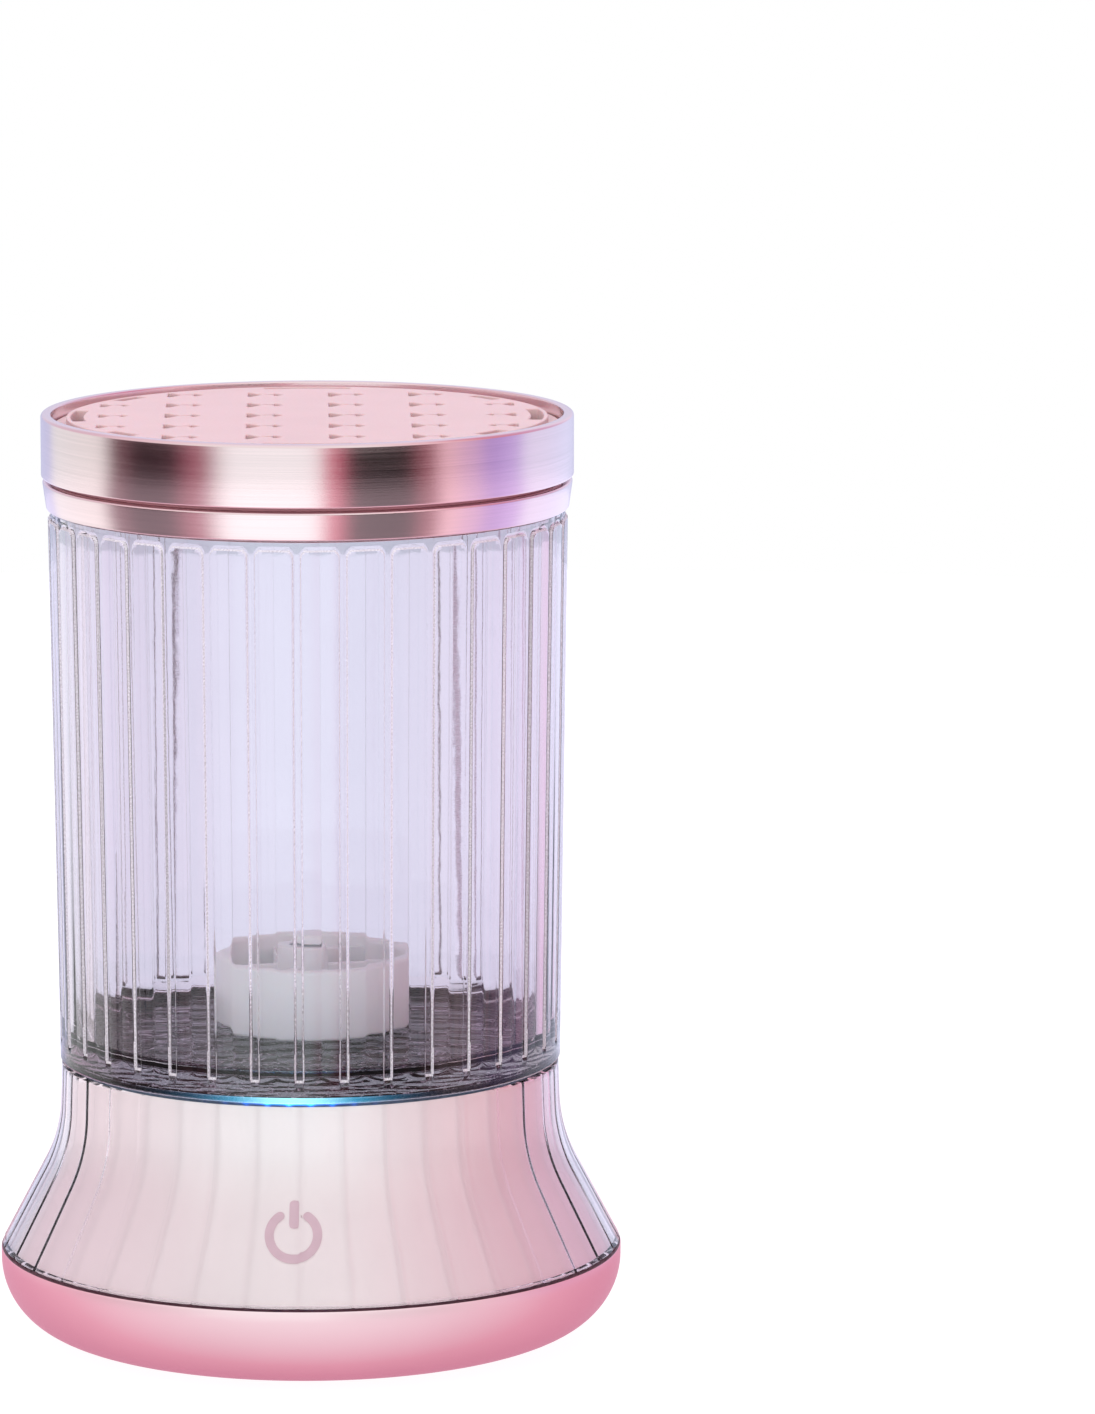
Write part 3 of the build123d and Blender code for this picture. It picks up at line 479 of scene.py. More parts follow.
def glowing_ring(name):
    """Frosted light guide, brightest behind the power symbol, with a bright bead above a row of spots."""
    material = bpy.data.materials.new(name)
    material.use_nodes = True
    nodes = Nodes(material.node_tree)
    shader = material.node_tree.nodes["Principled BSDF"]
    links = material.node_tree.links
    point = nodes.object_point()
    angle, glow = front_glow(nodes, point, 16)
    wave = nodes.maths("COSINE", nodes.maths("MULTIPLY", angle, FLUTES))
    spots = nodes.maths("POWER", nodes.maths("ABSOLUTE", wave), 8)
    level = nodes.maths("ADD", glow, 0.015)
    outside = nodes.maths("GREATER_THAN", nodes.from_axis(point), RING_RADIUS - 0.8 * MM)
    bead = nodes.maths("GREATER_THAN", point[2], SKIRT_TOP + 0.45 * MM)
    line = nodes.maths("MULTIPLY", bead, nodes.maths("POWER", glow, 2.0))
    dotted = nodes.maths("ADD", nodes.maths("MULTIPLY", spots, 0.25), 0.10)
    lit = nodes.maths("ADD", nodes.maths("MULTIPLY", level, dotted), nodes.maths("MULTIPLY", line, 0.3))
    pulse = nodes.maths("MULTIPLY", outside, lit)
    colour = nodes.ramp(pulse, [(0.0, (0.0, 0.02, 0.10)), (0.25, (0.0, 0.12, 0.75)), (0.6, (0.02, 0.45, 1.0)),
                                (1.0, (0.45, 0.95, 1.0))])
    links.new(nodes.ramp(nodes.noise(400), [(0.3, (0.10, 0.14, 0.20)), (0.7, (0.14, 0.20, 0.28))]),
              shader.inputs["Base Color"])
    links.new(colour, shader.inputs["Emission Color"])
    links.new(nodes.maths("MULTIPLY", pulse, 5.0), shader.inputs["Emission Strength"])
    links.new(nodes.between(nodes.noise(2000), 0.15, 0.3), shader.inputs["Roughness"])
    return material


light_guide = glowing_ring("light_guide")


def dress(piece, material, body, slot, *nodes):
    """Gives a new piece its material, the body it rides on and the CAD nodes it stands for."""
    piece.data.materials.clear()
    piece.data.materials.append(material)
    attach(piece, body)
    if nodes:
        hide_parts(*nodes)
    return piece


# ------------------------------------------------------------------ Base

def flare(inset, top, bottom):
    """The skirt's outline from top to bottom, moved in by inset and rounded at its bend."""
    neck_slope = (NECK_RADIUS - SKIRT_TOP_RADIUS) / (SKIRT_TOP - NECK_HEIGHT)
    foot_slope = (BASE_RADIUS - NECK_RADIUS) / (NECK_HEIGHT - BOWL_TOP)
    neck_inset = inset * hypot(1, neck_slope)
    foot_inset = inset * hypot(1, foot_slope)
    corner = NECK_HEIGHT - (neck_inset - foot_inset) / (neck_slope - foot_slope)

    def neck(height):
        return NECK_RADIUS + (NECK_HEIGHT - height) * neck_slope - neck_inset

    foot = NECK_RADIUS + (NECK_HEIGHT - bottom) * foot_slope - foot_inset
    return bend([(neck(top), top), (neck(corner), corner), (foot, bottom)], SKIRT_BEND + inset)


def fluted_angles(offsets):
    """Angles closely spaced beside each groove: offsets are fractions of half a pitch."""
    steps = sorted({-o for o in offsets} | set(offsets))
    return np.array([FLUTE_START + (k + s / 2) * FLUTE_PITCH for k in range(FLUTES) for s in steps])


def groove_distance(angles, radius):
    """Distance along the wall from the nearest groove's middle."""
    turns = (angles - FLUTE_START) / FLUTE_PITCH
    return np.abs(turns - np.round(turns)) * FLUTE_PITCH * radius


def smooth(x, low, high):
    t = np.clip((x - low) / (high - low), 0, 1)
    return t * t * (3 - 2 * t)


bowl_corner = 14.9 * MM
bowl_wall = 2.4 * MM
corner_radius = BASE_RADIUS - bowl_corner
corner_height = BOWL_BOTTOM + bowl_corner


def bowl_arc(radius, start, end, steps):
    """Points of the bowl's quarter-round corner, by angle in degrees from its lowest point."""
    angles = np.radians(np.linspace(start, end, steps))
    return [(corner_radius + radius * sin(a), corner_height - radius * cos(a)) for a in angles]


bowl_outline = (
    [(0, BOWL_BOTTOM), (20 * MM, BOWL_BOTTOM)]
    + bowl_arc(bowl_corner, 0, 90, 26)
    + [(BASE_RADIUS, BOWL_TOP - 0.35 * MM), (BASE_RADIUS - 0.1 * MM, BOWL_TOP - 0.1 * MM)]
    + [(BASE_RADIUS - 0.35 * MM, BOWL_TOP), (56.5 * MM, BOWL_TOP), (56.5 * MM, BOWL_TOP - bowl_wall)]
    + bowl_arc(bowl_corner - bowl_wall, 83, 0, 14)
    + [(0, BOWL_BOTTOM + bowl_wall)]
)
bowl = turned("bowl_shell", bowl_outline, 360, closed=False)


def cut(piece, cutters):
    """Cuts the cutter objects out of a piece and removes them."""
    for cutter in cutters:
        change = piece.modifiers.new("cut", "BOOLEAN")
        change.operation = "DIFFERENCE"
        change.solver = "EXACT"
        change.object = cutter
    graph = bpy.context.evaluated_depsgraph_get()
    mesh = bpy.data.meshes.new_from_object(piece.evaluated_get(graph), depsgraph=graph)
    piece.modifiers.clear()
    piece.data = mesh
    mesh.set_sharp_from_angle(angle=radians(38))
    for cutter in cutters:
        bpy.data.objects.remove(cutter)


def stadium(width, height, steps=16):
    """A slot's outline about the origin, its long side along X."""
    radius = height / 2
    reach = width / 2 - radius
    right = [(reach + radius * sin(a), -radius * cos(a)) for a in np.linspace(0, pi, steps)]
    left = [(-reach - radius * sin(a), radius * cos(a)) for a in np.linspace(0, pi, steps)]
    return right + left


SCREW_CIRCLE, SCREW_HOLE, SCREW_DEPTH = 42 * MM, 3.2 * MM, 13.5 * MM
FOOT_CIRCLE, FOOT_HOLE, FOOT_DEPTH = 36 * MM, 5.1 * MM, BOWL_BOTTOM + 0.6 * MM
PORT_WIDTH, PORT_HEIGHT = 10.4 * MM, 4.6 * MM
BELOW = -4 * MM


def round_cutter(name, circle, angle, hole, depth):
    """An upright cylinder on a circle about the axis, reaching from below the bowl up to depth."""
    outline = [(circle * cos(angle) + hole * cos(a), circle * sin(angle) + hole * sin(a))
               for a in even_angles(40)]
    return new_object(name, *prism(outline, BELOW, depth))


port_middle = (top_of("usb_c_port") + bottom_of("usb_c_port")) / 2
port_vertices, port_faces = prism(stadium(PORT_WIDTH, PORT_HEIGHT), 50 * MM, 66 * MM)
port_vertices = [(x, z, y + port_middle) for x, y, z in port_vertices]
cutters = [new_object("port_cut", port_vertices, port_faces)]
for quarter in range(4):
    turn = radians(90 * quarter)
    cutters.append(
        round_cutter(f"screw_cut_{quarter}", SCREW_CIRCLE, turn + radians(45), SCREW_HOLE, SCREW_DEPTH)
    )
for quarter in range(4):
    cutters.append(
        round_cutter(f"foot_cut_{quarter}", FOOT_CIRCLE, radians(90 * quarter), FOOT_HOLE, FOOT_DEPTH)
    )
cut(bowl, cutters)
dress(bowl, bowl_pink, "base", "bowl_pink", "bottom_bowl")
bowl.data.materials.append(painted_seam_shade)
# Painted shade: the bowl's top rim, in the gap under the skirt, takes the dark colour.
for face in bowl.data.polygons:
    if face.center.z > BOWL_TOP - 0.12 * MM:
        face.material_index = 1

inner = divided(flare(PINK_DEPTH, SKIRT_TOP, BOWL_TOP), 2 * MM)
inner_back = flare(PINK_DEPTH + PINK_WALL, SKIRT_TOP, BOWL_TOP)[::-1]
dress(turned("skirt_shell", inner + inner_back, 240), skirt_pink, "base", "skirt_pink", "skirt_inner")

clear_outer = divided(flare(0, SKIRT_TOP - 0.25 * MM, SKIRT_BOTTOM + 0.2 * MM), 1.2 * MM)
clear_inner = flare(CLEAR_WALL, SKIRT_TOP, SKIRT_BOTTOM)[::-1]
lip_top = [(SKIRT_TOP_RADIUS - 0.25 * MM, SKIRT_TOP)]
foot_edge = clear_outer[-1][0]
lip_foot = [(foot_edge - 0.25 * MM, SKIRT_BOTTOM)]


def skirt_grooves(r, z, angles):
    """Narrow grooves on the clear skirt's outer face, between faintly crowned panels."""
    face = np.interp(z, [p[1] for p in reversed(clear_outer)], [p[0] for p in reversed(clear_outer)])
    if r < face - 0.8 * MM:
        return np.zeros(len(angles))
    away = groove_distance(angles, r)
    half_pitch = FLUTE_PITCH * r / 2
    crown = -0.12 * MM * (1 - away / half_pitch) ** 2
    return crown - 0.4 * MM * (1 - smooth(away, 0.12 * MM, 0.55 * MM))


skirt_offsets = [0, 0.03, 0.06, 0.09, 0.12, 0.16, 0.24, 0.36, 0.5, 0.66, 0.82]
dress(
    turned("clear_skirt_shell", lip_top + clear_outer + lip_foot + clear_inner, shift=skirt_grooves,
           angles=fluted_angles(skirt_offsets + [0.97]), sharp=50),
    clear_skirt, "base", "clear_lavender", "skirt_outer",
)

# Deck: a dark moulded plate with shallow rings.
deck_low, deck_high = DECK_TOP - 1.2 * MM, DECK_TOP - 0.7 * MM
deck_outline = [(0, deck_low)]
for i in range(9):
    r = (4 + 4.2 * i) * MM
    deck_outline += [(r, deck_low), (r + 0.5 * MM, deck_high), (r + 1.6 * MM, deck_high),
                     (r + 2.1 * MM, deck_low)]
deck_outline += [(41.4 * MM, DECK_TOP - 0.3 * MM), (41.7 * MM, DECK_TOP), (42.9 * MM, DECK_TOP),
                 (43.1 * MM, DECK_TOP - 0.2 * MM), (43.1 * MM, bottom_of("deck_plate") + 0.6 * MM),
                 (0, bottom_of("deck_plate") + 0.6 * MM)]
dress(turned("deck", deck_outline, 288, closed=False, sharp=20), deck_dark, "base", "deck_dark", "deck_plate")

# Light ring: a guide with a bright upper bead and a darker channel with a spot over each diode.
ring_inner = 43.4 * MM
ring_outline = [
    (RING_RADIUS - 0.7 * MM, SKIRT_TOP), (RING_RADIUS - 0.5 * MM, SKIRT_TOP + 0.35 * MM),
    (RING_RADIUS - 0.15 * MM, SKIRT_TOP + 0.5 * MM), (RING_RADIUS, SKIRT_TOP + 0.68 * MM),
    (RING_RADIUS - 0.1 * MM, RING_TOP - 0.05 * MM), (RING_RADIUS - 0.3 * MM, RING_TOP),
    (ring_inner, RING_TOP), (ring_inner, bottom_of("light_ring")),
    (45.7 * MM, bottom_of("light_ring")), (45.7 * MM, SKIRT_TOP),
]
dress(turned("light_guide_ring", ring_outline, 360), light_guide, "base", "light_ring", "light_ring")


# Power symbol: a thin print on the pink skirt, its strokes bent round the cone.
def skirt_radius(inset, height):
    line = flare(inset, SKIRT_TOP, BOWL_TOP)[::-1]
    return float(np.interp(height, [p[1] for p in line], [p[0] for p in line]))


ICON_HEIGHT = 31.5 * MM
ICON_RADIUS = 4.8 * MM
ICON_STROKE = 0.9 * MM


def stroke(points, steps=10):
    """Left and right edges of a stroke with round ends along a flat line of points."""
    line = [Vector(p) for p in points]
    sides = []
    for i, point in enumerate(line):
        along = (line[min(i + 1, len(line) - 1)] - line[max(i - 1, 0)]).normalized()
        sides.append((point, along, Vector((-along.y, along.x))))
    left = [p + n * ICON_STROKE for p, _, n in sides]
    right = [p - n * ICON_STROKE for p, _, n in sides]

    def cap(point, along, across):
        return [point + along * ICON_STROKE * sin(a) + across * ICON_STROKE * cos(a)
                for a in np.linspace(0, pi, steps)[1:-1]]

    end_cap = cap(sides[-1][0], sides[-1][1], sides[-1][2])
    start_cap = cap(sides[0][0], -sides[0][1], -sides[0][2])
    return left, right, end_cap, start_cap


def icon_part(points):
    """Vertices and faces of one printed stroke, laid on the pink skirt."""
    left, right, end_cap, start_cap = stroke(points)
    flat = left + right + end_cap + start_cap
    count, caps = len(left), len(end_cap)
    vertices = []
    for inset in (PINK_DEPTH - 0.18 * MM, PINK_DEPTH - 0.02 * MM):
        for x, y in flat:
            height = ICON_HEIGHT + y * cos(radians(27))
            r = skirt_radius(inset, height)
            angle = FRONT_TURN + x / r
            vertices.append((r * cos(angle), r * sin(angle), height))
    size = len(flat)
    faces = []
    strips = [(i, i + 1, count + i + 1, count + i) for i in range(count - 1)]
    end_fan = [count - 1] + [2 * count + i for i in range(caps)] + [2 * count - 1]
    start_fan = [count] + [2 * count + caps + i for i in range(caps)] + [0]
    top = strips + [tuple(end_fan), tuple(start_fan)]
    for face in top:
        faces.append(tuple(reversed(face)))
        faces.append(tuple(i + size for i in face))
    rim = list(range(count)) + end_fan[1:-1] + [2 * count - 1 - i for i in range(count)] + start_fan[1:-1]
    for a, b in zip(rim, rim[1:] + rim[:1]):
        faces.append((a, b, b + size, a + size))
    return vertices, faces


arc_angles = np.radians(np.linspace(125, 415, 60))
arc_line = [(ICON_RADIUS * cos(a), ICON_RADIUS * sin(a)) for a in arc_angles]
bar_line = [(0.0, y) for y in np.linspace(2.3 * MM, 6.4 * MM, 8)]
dress(merged("power_symbol", [icon_part(arc_line), icon_part(bar_line)]), icon_print,
      "base", "icon_mauve", "power_icon")

# ------------------------------------------------------------------ Cup

PANEL_TOP = SHOULDER - 1.6 * MM
PANEL_FOOT = CUP_BOTTOM + 4.2 * MM
PANEL_ROUND = 1.6 * MM
CHANNEL_HALF = 0.75 * MM
CHANNEL_DEPTH = 0.62 * MM

wall_foot = (CUP_BOTTOM_RADIUS, CUP_BOTTOM + 0.3 * MM)
wall_line = divided([wall_foot, (CUP_BOTTOM_RADIUS + 0.08 * MM, PANEL_FOOT + 2 * MM)], 0.5 * MM)
wall_line += divided([wall_line[-1], (SHOULDER_RADIUS - 0.08 * MM, SHOULDER - 5 * MM)], 4 * MM)[1:]
wall_line += divided([wall_line[-1], (SHOULDER_RADIUS, SHOULDER - 0.2 * MM)], 0.35 * MM)[1:]
floor_corner = CUP_BOTTOM_RADIUS - 3 * MM
foot_outer = 42.7 * MM
foot_inner = foot_outer - 2.2 * MM
foot_bottom = DECK_TOP + 0.4 * MM
inside = rounded([
    (CUP_MOUTH, CUP_TOP, 0.5 * MM), (CUP_MOUTH - 0.1 * MM, SHOULDER, 0),
    (floor_corner + 0.1 * MM, CUP_FLOOR, 3.2 * MM), (5.0 * MM, CUP_FLOOR, 0),
    (5.0 * MM, CUP_FLOOR + 0.5 * MM, 0.2 * MM), (2.0 * MM, CUP_FLOOR + 0.5 * MM, 0),
    (2.0 * MM, CUP_BOTTOM + 1.6 * MM, 0), (0, CUP_BOTTOM + 1.6 * MM, 0),
    (0, CUP_BOTTOM, 0), (foot_inner, CUP_BOTTOM, 0),
    (foot_inner, foot_bottom, 0.3 * MM), (foot_outer, foot_bottom, 0.3 * MM), (foot_outer, CUP_BOTTOM, 0),
    (CUP_BOTTOM_RADIUS, CUP_BOTTOM, 0.3 * MM), (SHOULDER_RADIUS, SHOULDER, 0),
    (51.5 * MM, SHOULDER, 0), (51.5 * MM, CUP_TOP, 0.5 * MM),
])
corner_at = min(
    range(len(inside)), key=lambda i: hypot(inside[i][0] - SHOULDER_RADIUS, inside[i][1] - SHOULDER)
)
cup_outline = inside[:corner_at] + wall_line + inside[corner_at:]
TINY = 1e-6
underside = [
    i for i, (r, z) in enumerate(cup_outline) if abs(z - CUP_BOTTOM) < TINY and r < foot_inner + TINY
]
first, last = underside[:2]
cup_outline[first:last + 1] = divided([cup_outline[first], cup_outline[last]], 1.5 * MM)


def cup_wall(z):
    """Radius of the cup's outer face at a height."""
    slope = (SHOULDER_RADIUS - CUP_BOTTOM_RADIUS) / (SHOULDER - CUP_BOTTOM)
    return CUP_BOTTOM_RADIUS + slope * (z - CUP_BOTTOM)


def channel(r, z, angles):
    """Share of the full channel depth: 0 on the panels, which have rounded tops, and 1 in the channels."""
    away = groove_distance(angles, r)
    half_panel = FLUTE_PITCH * r / 2 - CHANNEL_HALF
    mid = PANEL_TOP - 40 * MM
    beside = np.abs(FLUTE_PITCH * r / 2 - away) - (half_panel - PANEL_ROUND)
    above = np.maximum(z - mid, 0) - (PANEL_TOP - mid - PANEL_ROUND)
    corner = np.hypot(np.maximum(beside, 0), np.maximum(above, 0))
    outside = corner + np.minimum(np.maximum(beside, above), 0) - PANEL_ROUND
    return smooth(outside, -0.22 * MM, 0.18 * MM) * smooth(z, PANEL_FOOT - 0.8 * MM, PANEL_FOOT + 0.8 * MM)


def cup_relief(r, z, angles):
    """Wide, faintly crowned panels parted by narrow channels."""
    if r < cup_wall(z) - 0.9 * MM or z > SHOULDER + 1e-6:
        return np.zeros(len(angles))
    half_panel = FLUTE_PITCH * r / 2 - CHANNEL_HALF
    across = half_panel - (groove_distance(angles, r) - CHANNEL_HALF)
    depth = channel(r, z, angles) * CHANNEL_DEPTH
    crown = 0.16 * MM * (np.clip(1 - across / half_panel, 0, 1)) ** 2
    return -depth - crown * smooth(z, PANEL_FOOT, PANEL_FOOT + 3 * MM)


cup_offsets = [0, 0.05, 0.09, 0.12, 0.145, 0.17, 0.195, 0.22, 0.25, 0.29, 0.34, 0.42, 0.52, 0.64, 0.76,
               0.88, 0.985]
cup_angles = fluted_angles(cup_offsets)
cup = turned("cup_shell", cup_outline, closed=True, shift=cup_relief, angles=cup_angles, sharp=50)
dress(cup, clear_cup, "cup", "clear_lavender", "cup")

# Painted highlight: the channels' steep edges get a whiter, part-frosted material. The underside is dark and
# rippled, with painted pale streaks, and the wall's foot gets a painted glow from the light ring.
UNDERSIDE, EDGES, FLOOR, FOOT = 1, 2, 3, 4
for extra in (under_dark, painted_edge_glint, clear_floor, clear_edge):
    cup.data.materials.append(extra)
centres = np.empty(3 * len(cup.data.polygons))
cup.data.polygons.foreach_get("center", centres)
x, y, z = centres.reshape(-1, 3).T
reach = np.hypot(x, y)
share = channel(reach, z, np.arctan2(y, x))
on_wall = (reach > cup_wall(z) - 0.9 * MM) & (z < SHOULDER - 0.1 * MM)
on_edge = on_wall & (share > 0.03) & (share < 0.97) & (z > PANEL_FOOT)
on_floor = (reach < floor_corner) & (z > CUP_FLOOR - 0.1 * MM) & (z < CUP_FLOOR + 0.6 * MM)
slots = np.zeros(len(z), dtype=np.int32)
slots[on_edge] = EDGES
slots[(z < CUP_BOTTOM + 0.05 * MM) & (reach < CUP_BOTTOM_RADIUS - 0.4 * MM)] = UNDERSIDE
slots[on_floor] = FLOOR
slots[on_wall & (z < CUP_BOTTOM + 1.3 * MM)] = FOOT
cup.data.polygons.foreach_set("material_index", slots)

collar_bottom = bottom_of("cup_collar")
collar_inner = 51.6 * MM
collar = rounded([
    (collar_inner, collar_bottom, 0.1 * MM), (53.0 * MM, collar_bottom, 0.35 * MM),
    (53.8 * MM, CUP_TOP, 0.5 * MM), (collar_inner, CUP_TOP, 0.1 * MM),
])
dress(turned("collar", collar, 360), rose_metal, "cup", "rose_gold", "cup_collar")

axle_top = top_of("agitator_axle")
axle = rounded([(0, CUP_BOTTOM + 1.6 * MM, 0), (2.0 * MM, CUP_BOTTOM + 1.6 * MM, 0.2 * MM),
                (2.0 * MM, axle_top, 0.3 * MM), (0, axle_top, 0)])
dress(turned("axle_pin", axle, 64, closed=False), steel, "cup", "steel", "agitator_axle")
cap_low, cap_high = bottom_of("axle_cap"), top_of("axle_cap")
cap = rounded([(2.0 * MM, cap_low, 0.1 * MM), (3.3 * MM, cap_low, 0.3 * MM), (3.3 * MM, cap_high, 0.9 * MM),
               (0, cap_high, 0), (0, axle_top, 0), (2.0 * MM, axle_top, 0.1 * MM)])
dress(turned("axle_top_cap", cap, 64), white_plastic, "cup", "agitator_white", "axle_cap")

# ------------------------------------------------------------------ Agitator

agitator_bottom = bottom_of("agitator")
disc_top = agitator_bottom + 4.2 * MM
rim_top = agitator_bottom + 14.7 * MM
hub_top = top_of("agitator")
drum = rounded([
    (3.5 * MM, agitator_bottom + 0.85 * MM, 0), (17.6 * MM, agitator_bottom + 0.85 * MM, 0),
    (17.6 * MM, agitator_bottom, 0.2 * MM), (AGITATOR_RADIUS, agitator_bottom, 0.8 * MM),
    (AGITATOR_RADIUS, rim_top, 0.9 * MM), (AGITATOR_RADIUS - 2.2 * MM, rim_top, 0.9 * MM),
    (AGITATOR_RADIUS - 2.3 * MM, disc_top, 1.2 * MM), (5.4 * MM, disc_top, 1.0 * MM),
    (5.0 * MM, hub_top, 0.5 * MM), (3.5 * MM, hub_top, 0.2 * MM),
])
agitator_parts = [turned_data(drum, even_angles(180))]
vane_top = disc_top + 8 * MM
for vane in range(6):
    turn = radians(60 * vane)
    strip = []
    for t in np.linspace(0, 1, 12):
        reach = (4.8 + (17.9 - 4.8) * t) * MM
        strip.append((reach, turn + 0.28 * sin(pi * t) * t))
    left = [(r * cos(a) - 0.8 * MM * sin(a), r * sin(a) + 0.8 * MM * cos(a)) for r, a in strip]
    right = [(r * cos(a) + 0.8 * MM * sin(a), r * sin(a) - 0.8 * MM * cos(a)) for r, a in reversed(strip)]
    rows = right + left
    count = len(strip)
    levels = [(disc_top - 0.5 * MM, 1.0), (vane_top - 0.5 * MM, 1.0), (vane_top - 0.12 * MM, 0.8),
              (vane_top, 0.4)]
    vertices = []
    for height, narrow in levels:
        for i, (x, y) in enumerate(rows):
            mate = rows[2 * count - 1 - i]
            middle_x, middle_y = (x + mate[0]) / 2, (y + mate[1]) / 2
            narrowed = (middle_x + (x - middle_x) * narrow, middle_y + (y - middle_y) * narrow)
            vertices.append((*narrowed, height))
    faces = []
    size = 2 * count
    for level in range(len(levels) - 1):
        for j in range(size):
            k = (j + 1) % size
            faces.append((level * size + j, level * size + k, (level + 1) * size + k, (level + 1) * size + j))
    top = (len(levels) - 1) * size
    for i in range(count - 1):
        faces.append((top + i, top + i + 1, top + size - 2 - i, top + size - 1 - i))
        faces.append((size - 1 - i, size - 2 - i, i + 1, i))
    agitator_parts.append((vertices, faces))
dress(merged("agitator_drum", agitator_parts), white_plastic, "agitator", "agitator_white", "agitator")

# ------------------------------------------------------------------ Lid

lid_wall = 2.1 * MM
lid = rounded([
    (LID_RADIUS - lid_wall, LID_BOTTOM, 0.2 * MM), (LID_RADIUS, LID_BOTTOM, 0.45 * MM),
    (LID_RADIUS, LID_TOP, 0.7 * MM), (LID_RADIUS - lid_wall, LID_TOP, 0.35 * MM),
], 6)
dress(turned("lid_band", lid, 360), rose_metal, "lid", "rose_gold", "lid_ring")

carrier_radius = radius_of("lid_carrier")
carrier_low, carrier_high = bottom_of("lid_carrier"), top_of("lid_carrier")
spigot = CUP_MOUTH - 0.4 * MM
carrier = rounded([
    (46.6 * MM, carrier_low, 0.6 * MM), (spigot, carrier_low, 0.6 * MM),
    (spigot, carrier_low + 2 * MM, 0.1 * MM),
    (spigot - 1.2 * MM, carrier_low + 2 * MM, 0.1 * MM), (spigot - 1.2 * MM, carrier_low + 4 * MM, 0.1 * MM),
    (spigot, carrier_low + 4 * MM, 0.1 * MM), (spigot, CUP_TOP, 0.1 * MM),
    (carrier_radius, CUP_TOP, 0.2 * MM),
    (carrier_radius, carrier_high, 0.2 * MM), (48.2 * MM, carrier_high, 0.3 * MM),
    (48.2 * MM, carrier_high - 2 * MM, 0.3 * MM), (49.8 * MM, carrier_high - 2 * MM, 0.3 * MM),
    (49.8 * MM, CUP_TOP + 2 * MM, 0.5 * MM), (46.6 * MM, CUP_TOP + 2 * MM, 0.4 * MM),
])
dress(turned("lid_frame", carrier, 240), carrier_plastic, "lid", "carrier_pink", "lid_carrier")

gasket_low, gasket_high = bottom_of("lid_gasket"), top_of("lid_gasket")
gasket = rounded([
    (spigot - 1.1 * MM, gasket_low, 0.2 * MM), (spigot + 0.1 * MM, gasket_low, 0.5 * MM),
    (spigot + 0.1 * MM, gasket_high, 0.5 * MM), (spigot - 1.1 * MM, gasket_high, 0.2 * MM),
])
dress(turned("lid_seal", gasket, 240), silicone, "lid", "silicone_pink", "lid_gasket")

# ------------------------------------------------------------------ Brush holder

HOLDER_RADIUS = radius_of("brush_holder")
PLATEAU = HOLDER_RADIUS - 2.7 * MM
FLANGE_TOP = HOLDER_BOTTOM + 1.6 * MM
EDGE = 0.28 * MM


def keyed_slot(spread, wide, small):
    """A large and a small rounded triangle joined by a slit. wide and small are (width, length)."""
    slit = 0.25 * MM
    a, b = -spread / 2, spread / 2
    left = a - wide[0] / 2
    join = a + wide[0] / 2 - wide[0] * slit / (wide[1] / 2)
    base = b - small[0] / 2
    return rounded([
        (left, -wide[1] / 2, 0.4 * MM), (join, -slit, 0.2 * MM), (base, -slit, 0.1 * MM),
        (base, -small[1] / 2, 0.3 * MM), (b + small[0] / 2, 0, 0.3 * MM), (base, small[1] / 2, 0.3 * MM),
        (base, slit, 0.1 * MM), (join, slit, 0.2 * MM), (left, wide[1] / 2, 0.4 * MM),
    ], 4)


def curved_window(angle, half_span, circle=46.6 * MM, half_width=1.3 * MM, steps=20):
    """A slot along the edge, with round ends."""
    a0, a1 = radians(angle - half_span), radians(angle + half_span)
    far, near = circle + half_width, circle - half_width
    outer = [(far * cos(a), far * sin(a), 0) for a in np.linspace(a0, a1, steps)]
    points = outer + [(near * cos(a), near * sin(a), 0) for a in np.linspace(a1, a0, steps)]
    for corner in (0, steps - 1, steps, 2 * steps - 1):
        points[corner] = (*points[corner][:2], 0.9 * MM)
    return rounded(points, 4)


rows = [(row - 2) * 17.4 * MM for row in range(5)]
columns = [(column - 1.5) * 16.6 * MM for column in range(4)]
inner_slot = keyed_slot(4.9 * MM, (3.0 * MM, 9.0 * MM), (1.9 * MM, 5.6 * MM))
edge_slot = keyed_slot(4.0 * MM, (2.6 * MM, 7.2 * MM), (1.6 * MM, 4.5 * MM))
holes = [[(x + px, y + py) for px, py in inner_slot] for x in columns for y in rows if hypot(x, y) < 45 * MM]
holes += [[(-39 * MM + px, y + py) for px, py in edge_slot] for y in rows[1:4]]
holes += [[(39 * MM - px, y + py) for px, py in edge_slot] for y in rows[1:4]]
for angle in (0, 90, 180, 270):
    holes.append(curved_window(angle, 11))
for angle in (38, 142, 218, 322):
    holes.append(curved_window(angle, 5, steps=12))

plate_curve = bpy.data.curves.new("holder_plate", "CURVE")
plate_curve.dimensions = "2D"
plate_curve.fill_mode = "BOTH"
rim = [(PLATEAU * cos(a), PLATEAU * sin(a)) for a in even_angles(360)]
for outline in [rim] + holes:
    spline = plate_curve.splines.new("POLY")
    spline.points.add(len(outline) - 1)
    for point, (x, y) in zip(spline.points, outline):
        point.co = (x, y, 0, 1)
    spline.use_cyclic_u = True
plate_curve.extrude = (HOLDER_TOP - HOLDER_BOTTOM) / 2 - EDGE
plate_curve.bevel_depth = EDGE
plate_curve.bevel_resolution = 2
plate_curve.offset = -EDGE
plate_object = bpy.data.objects.new("holder_plate_curve", plate_curve)
bpy.context.scene.collection.objects.link(plate_object)
graph = bpy.context.evaluated_depsgraph_get()
plate_mesh = bpy.data.meshes.new_from_object(plate_object.evaluated_get(graph), depsgraph=graph)
bpy.data.objects.remove(plate_object)
plate_middle = (HOLDER_TOP + HOLDER_BOTTOM) / 2
plate = ([(v.co.x, v.co.y, v.co.z + plate_middle) for v in plate_mesh.vertices],
         [tuple(p.vertices) for p in plate_mesh.polygons])
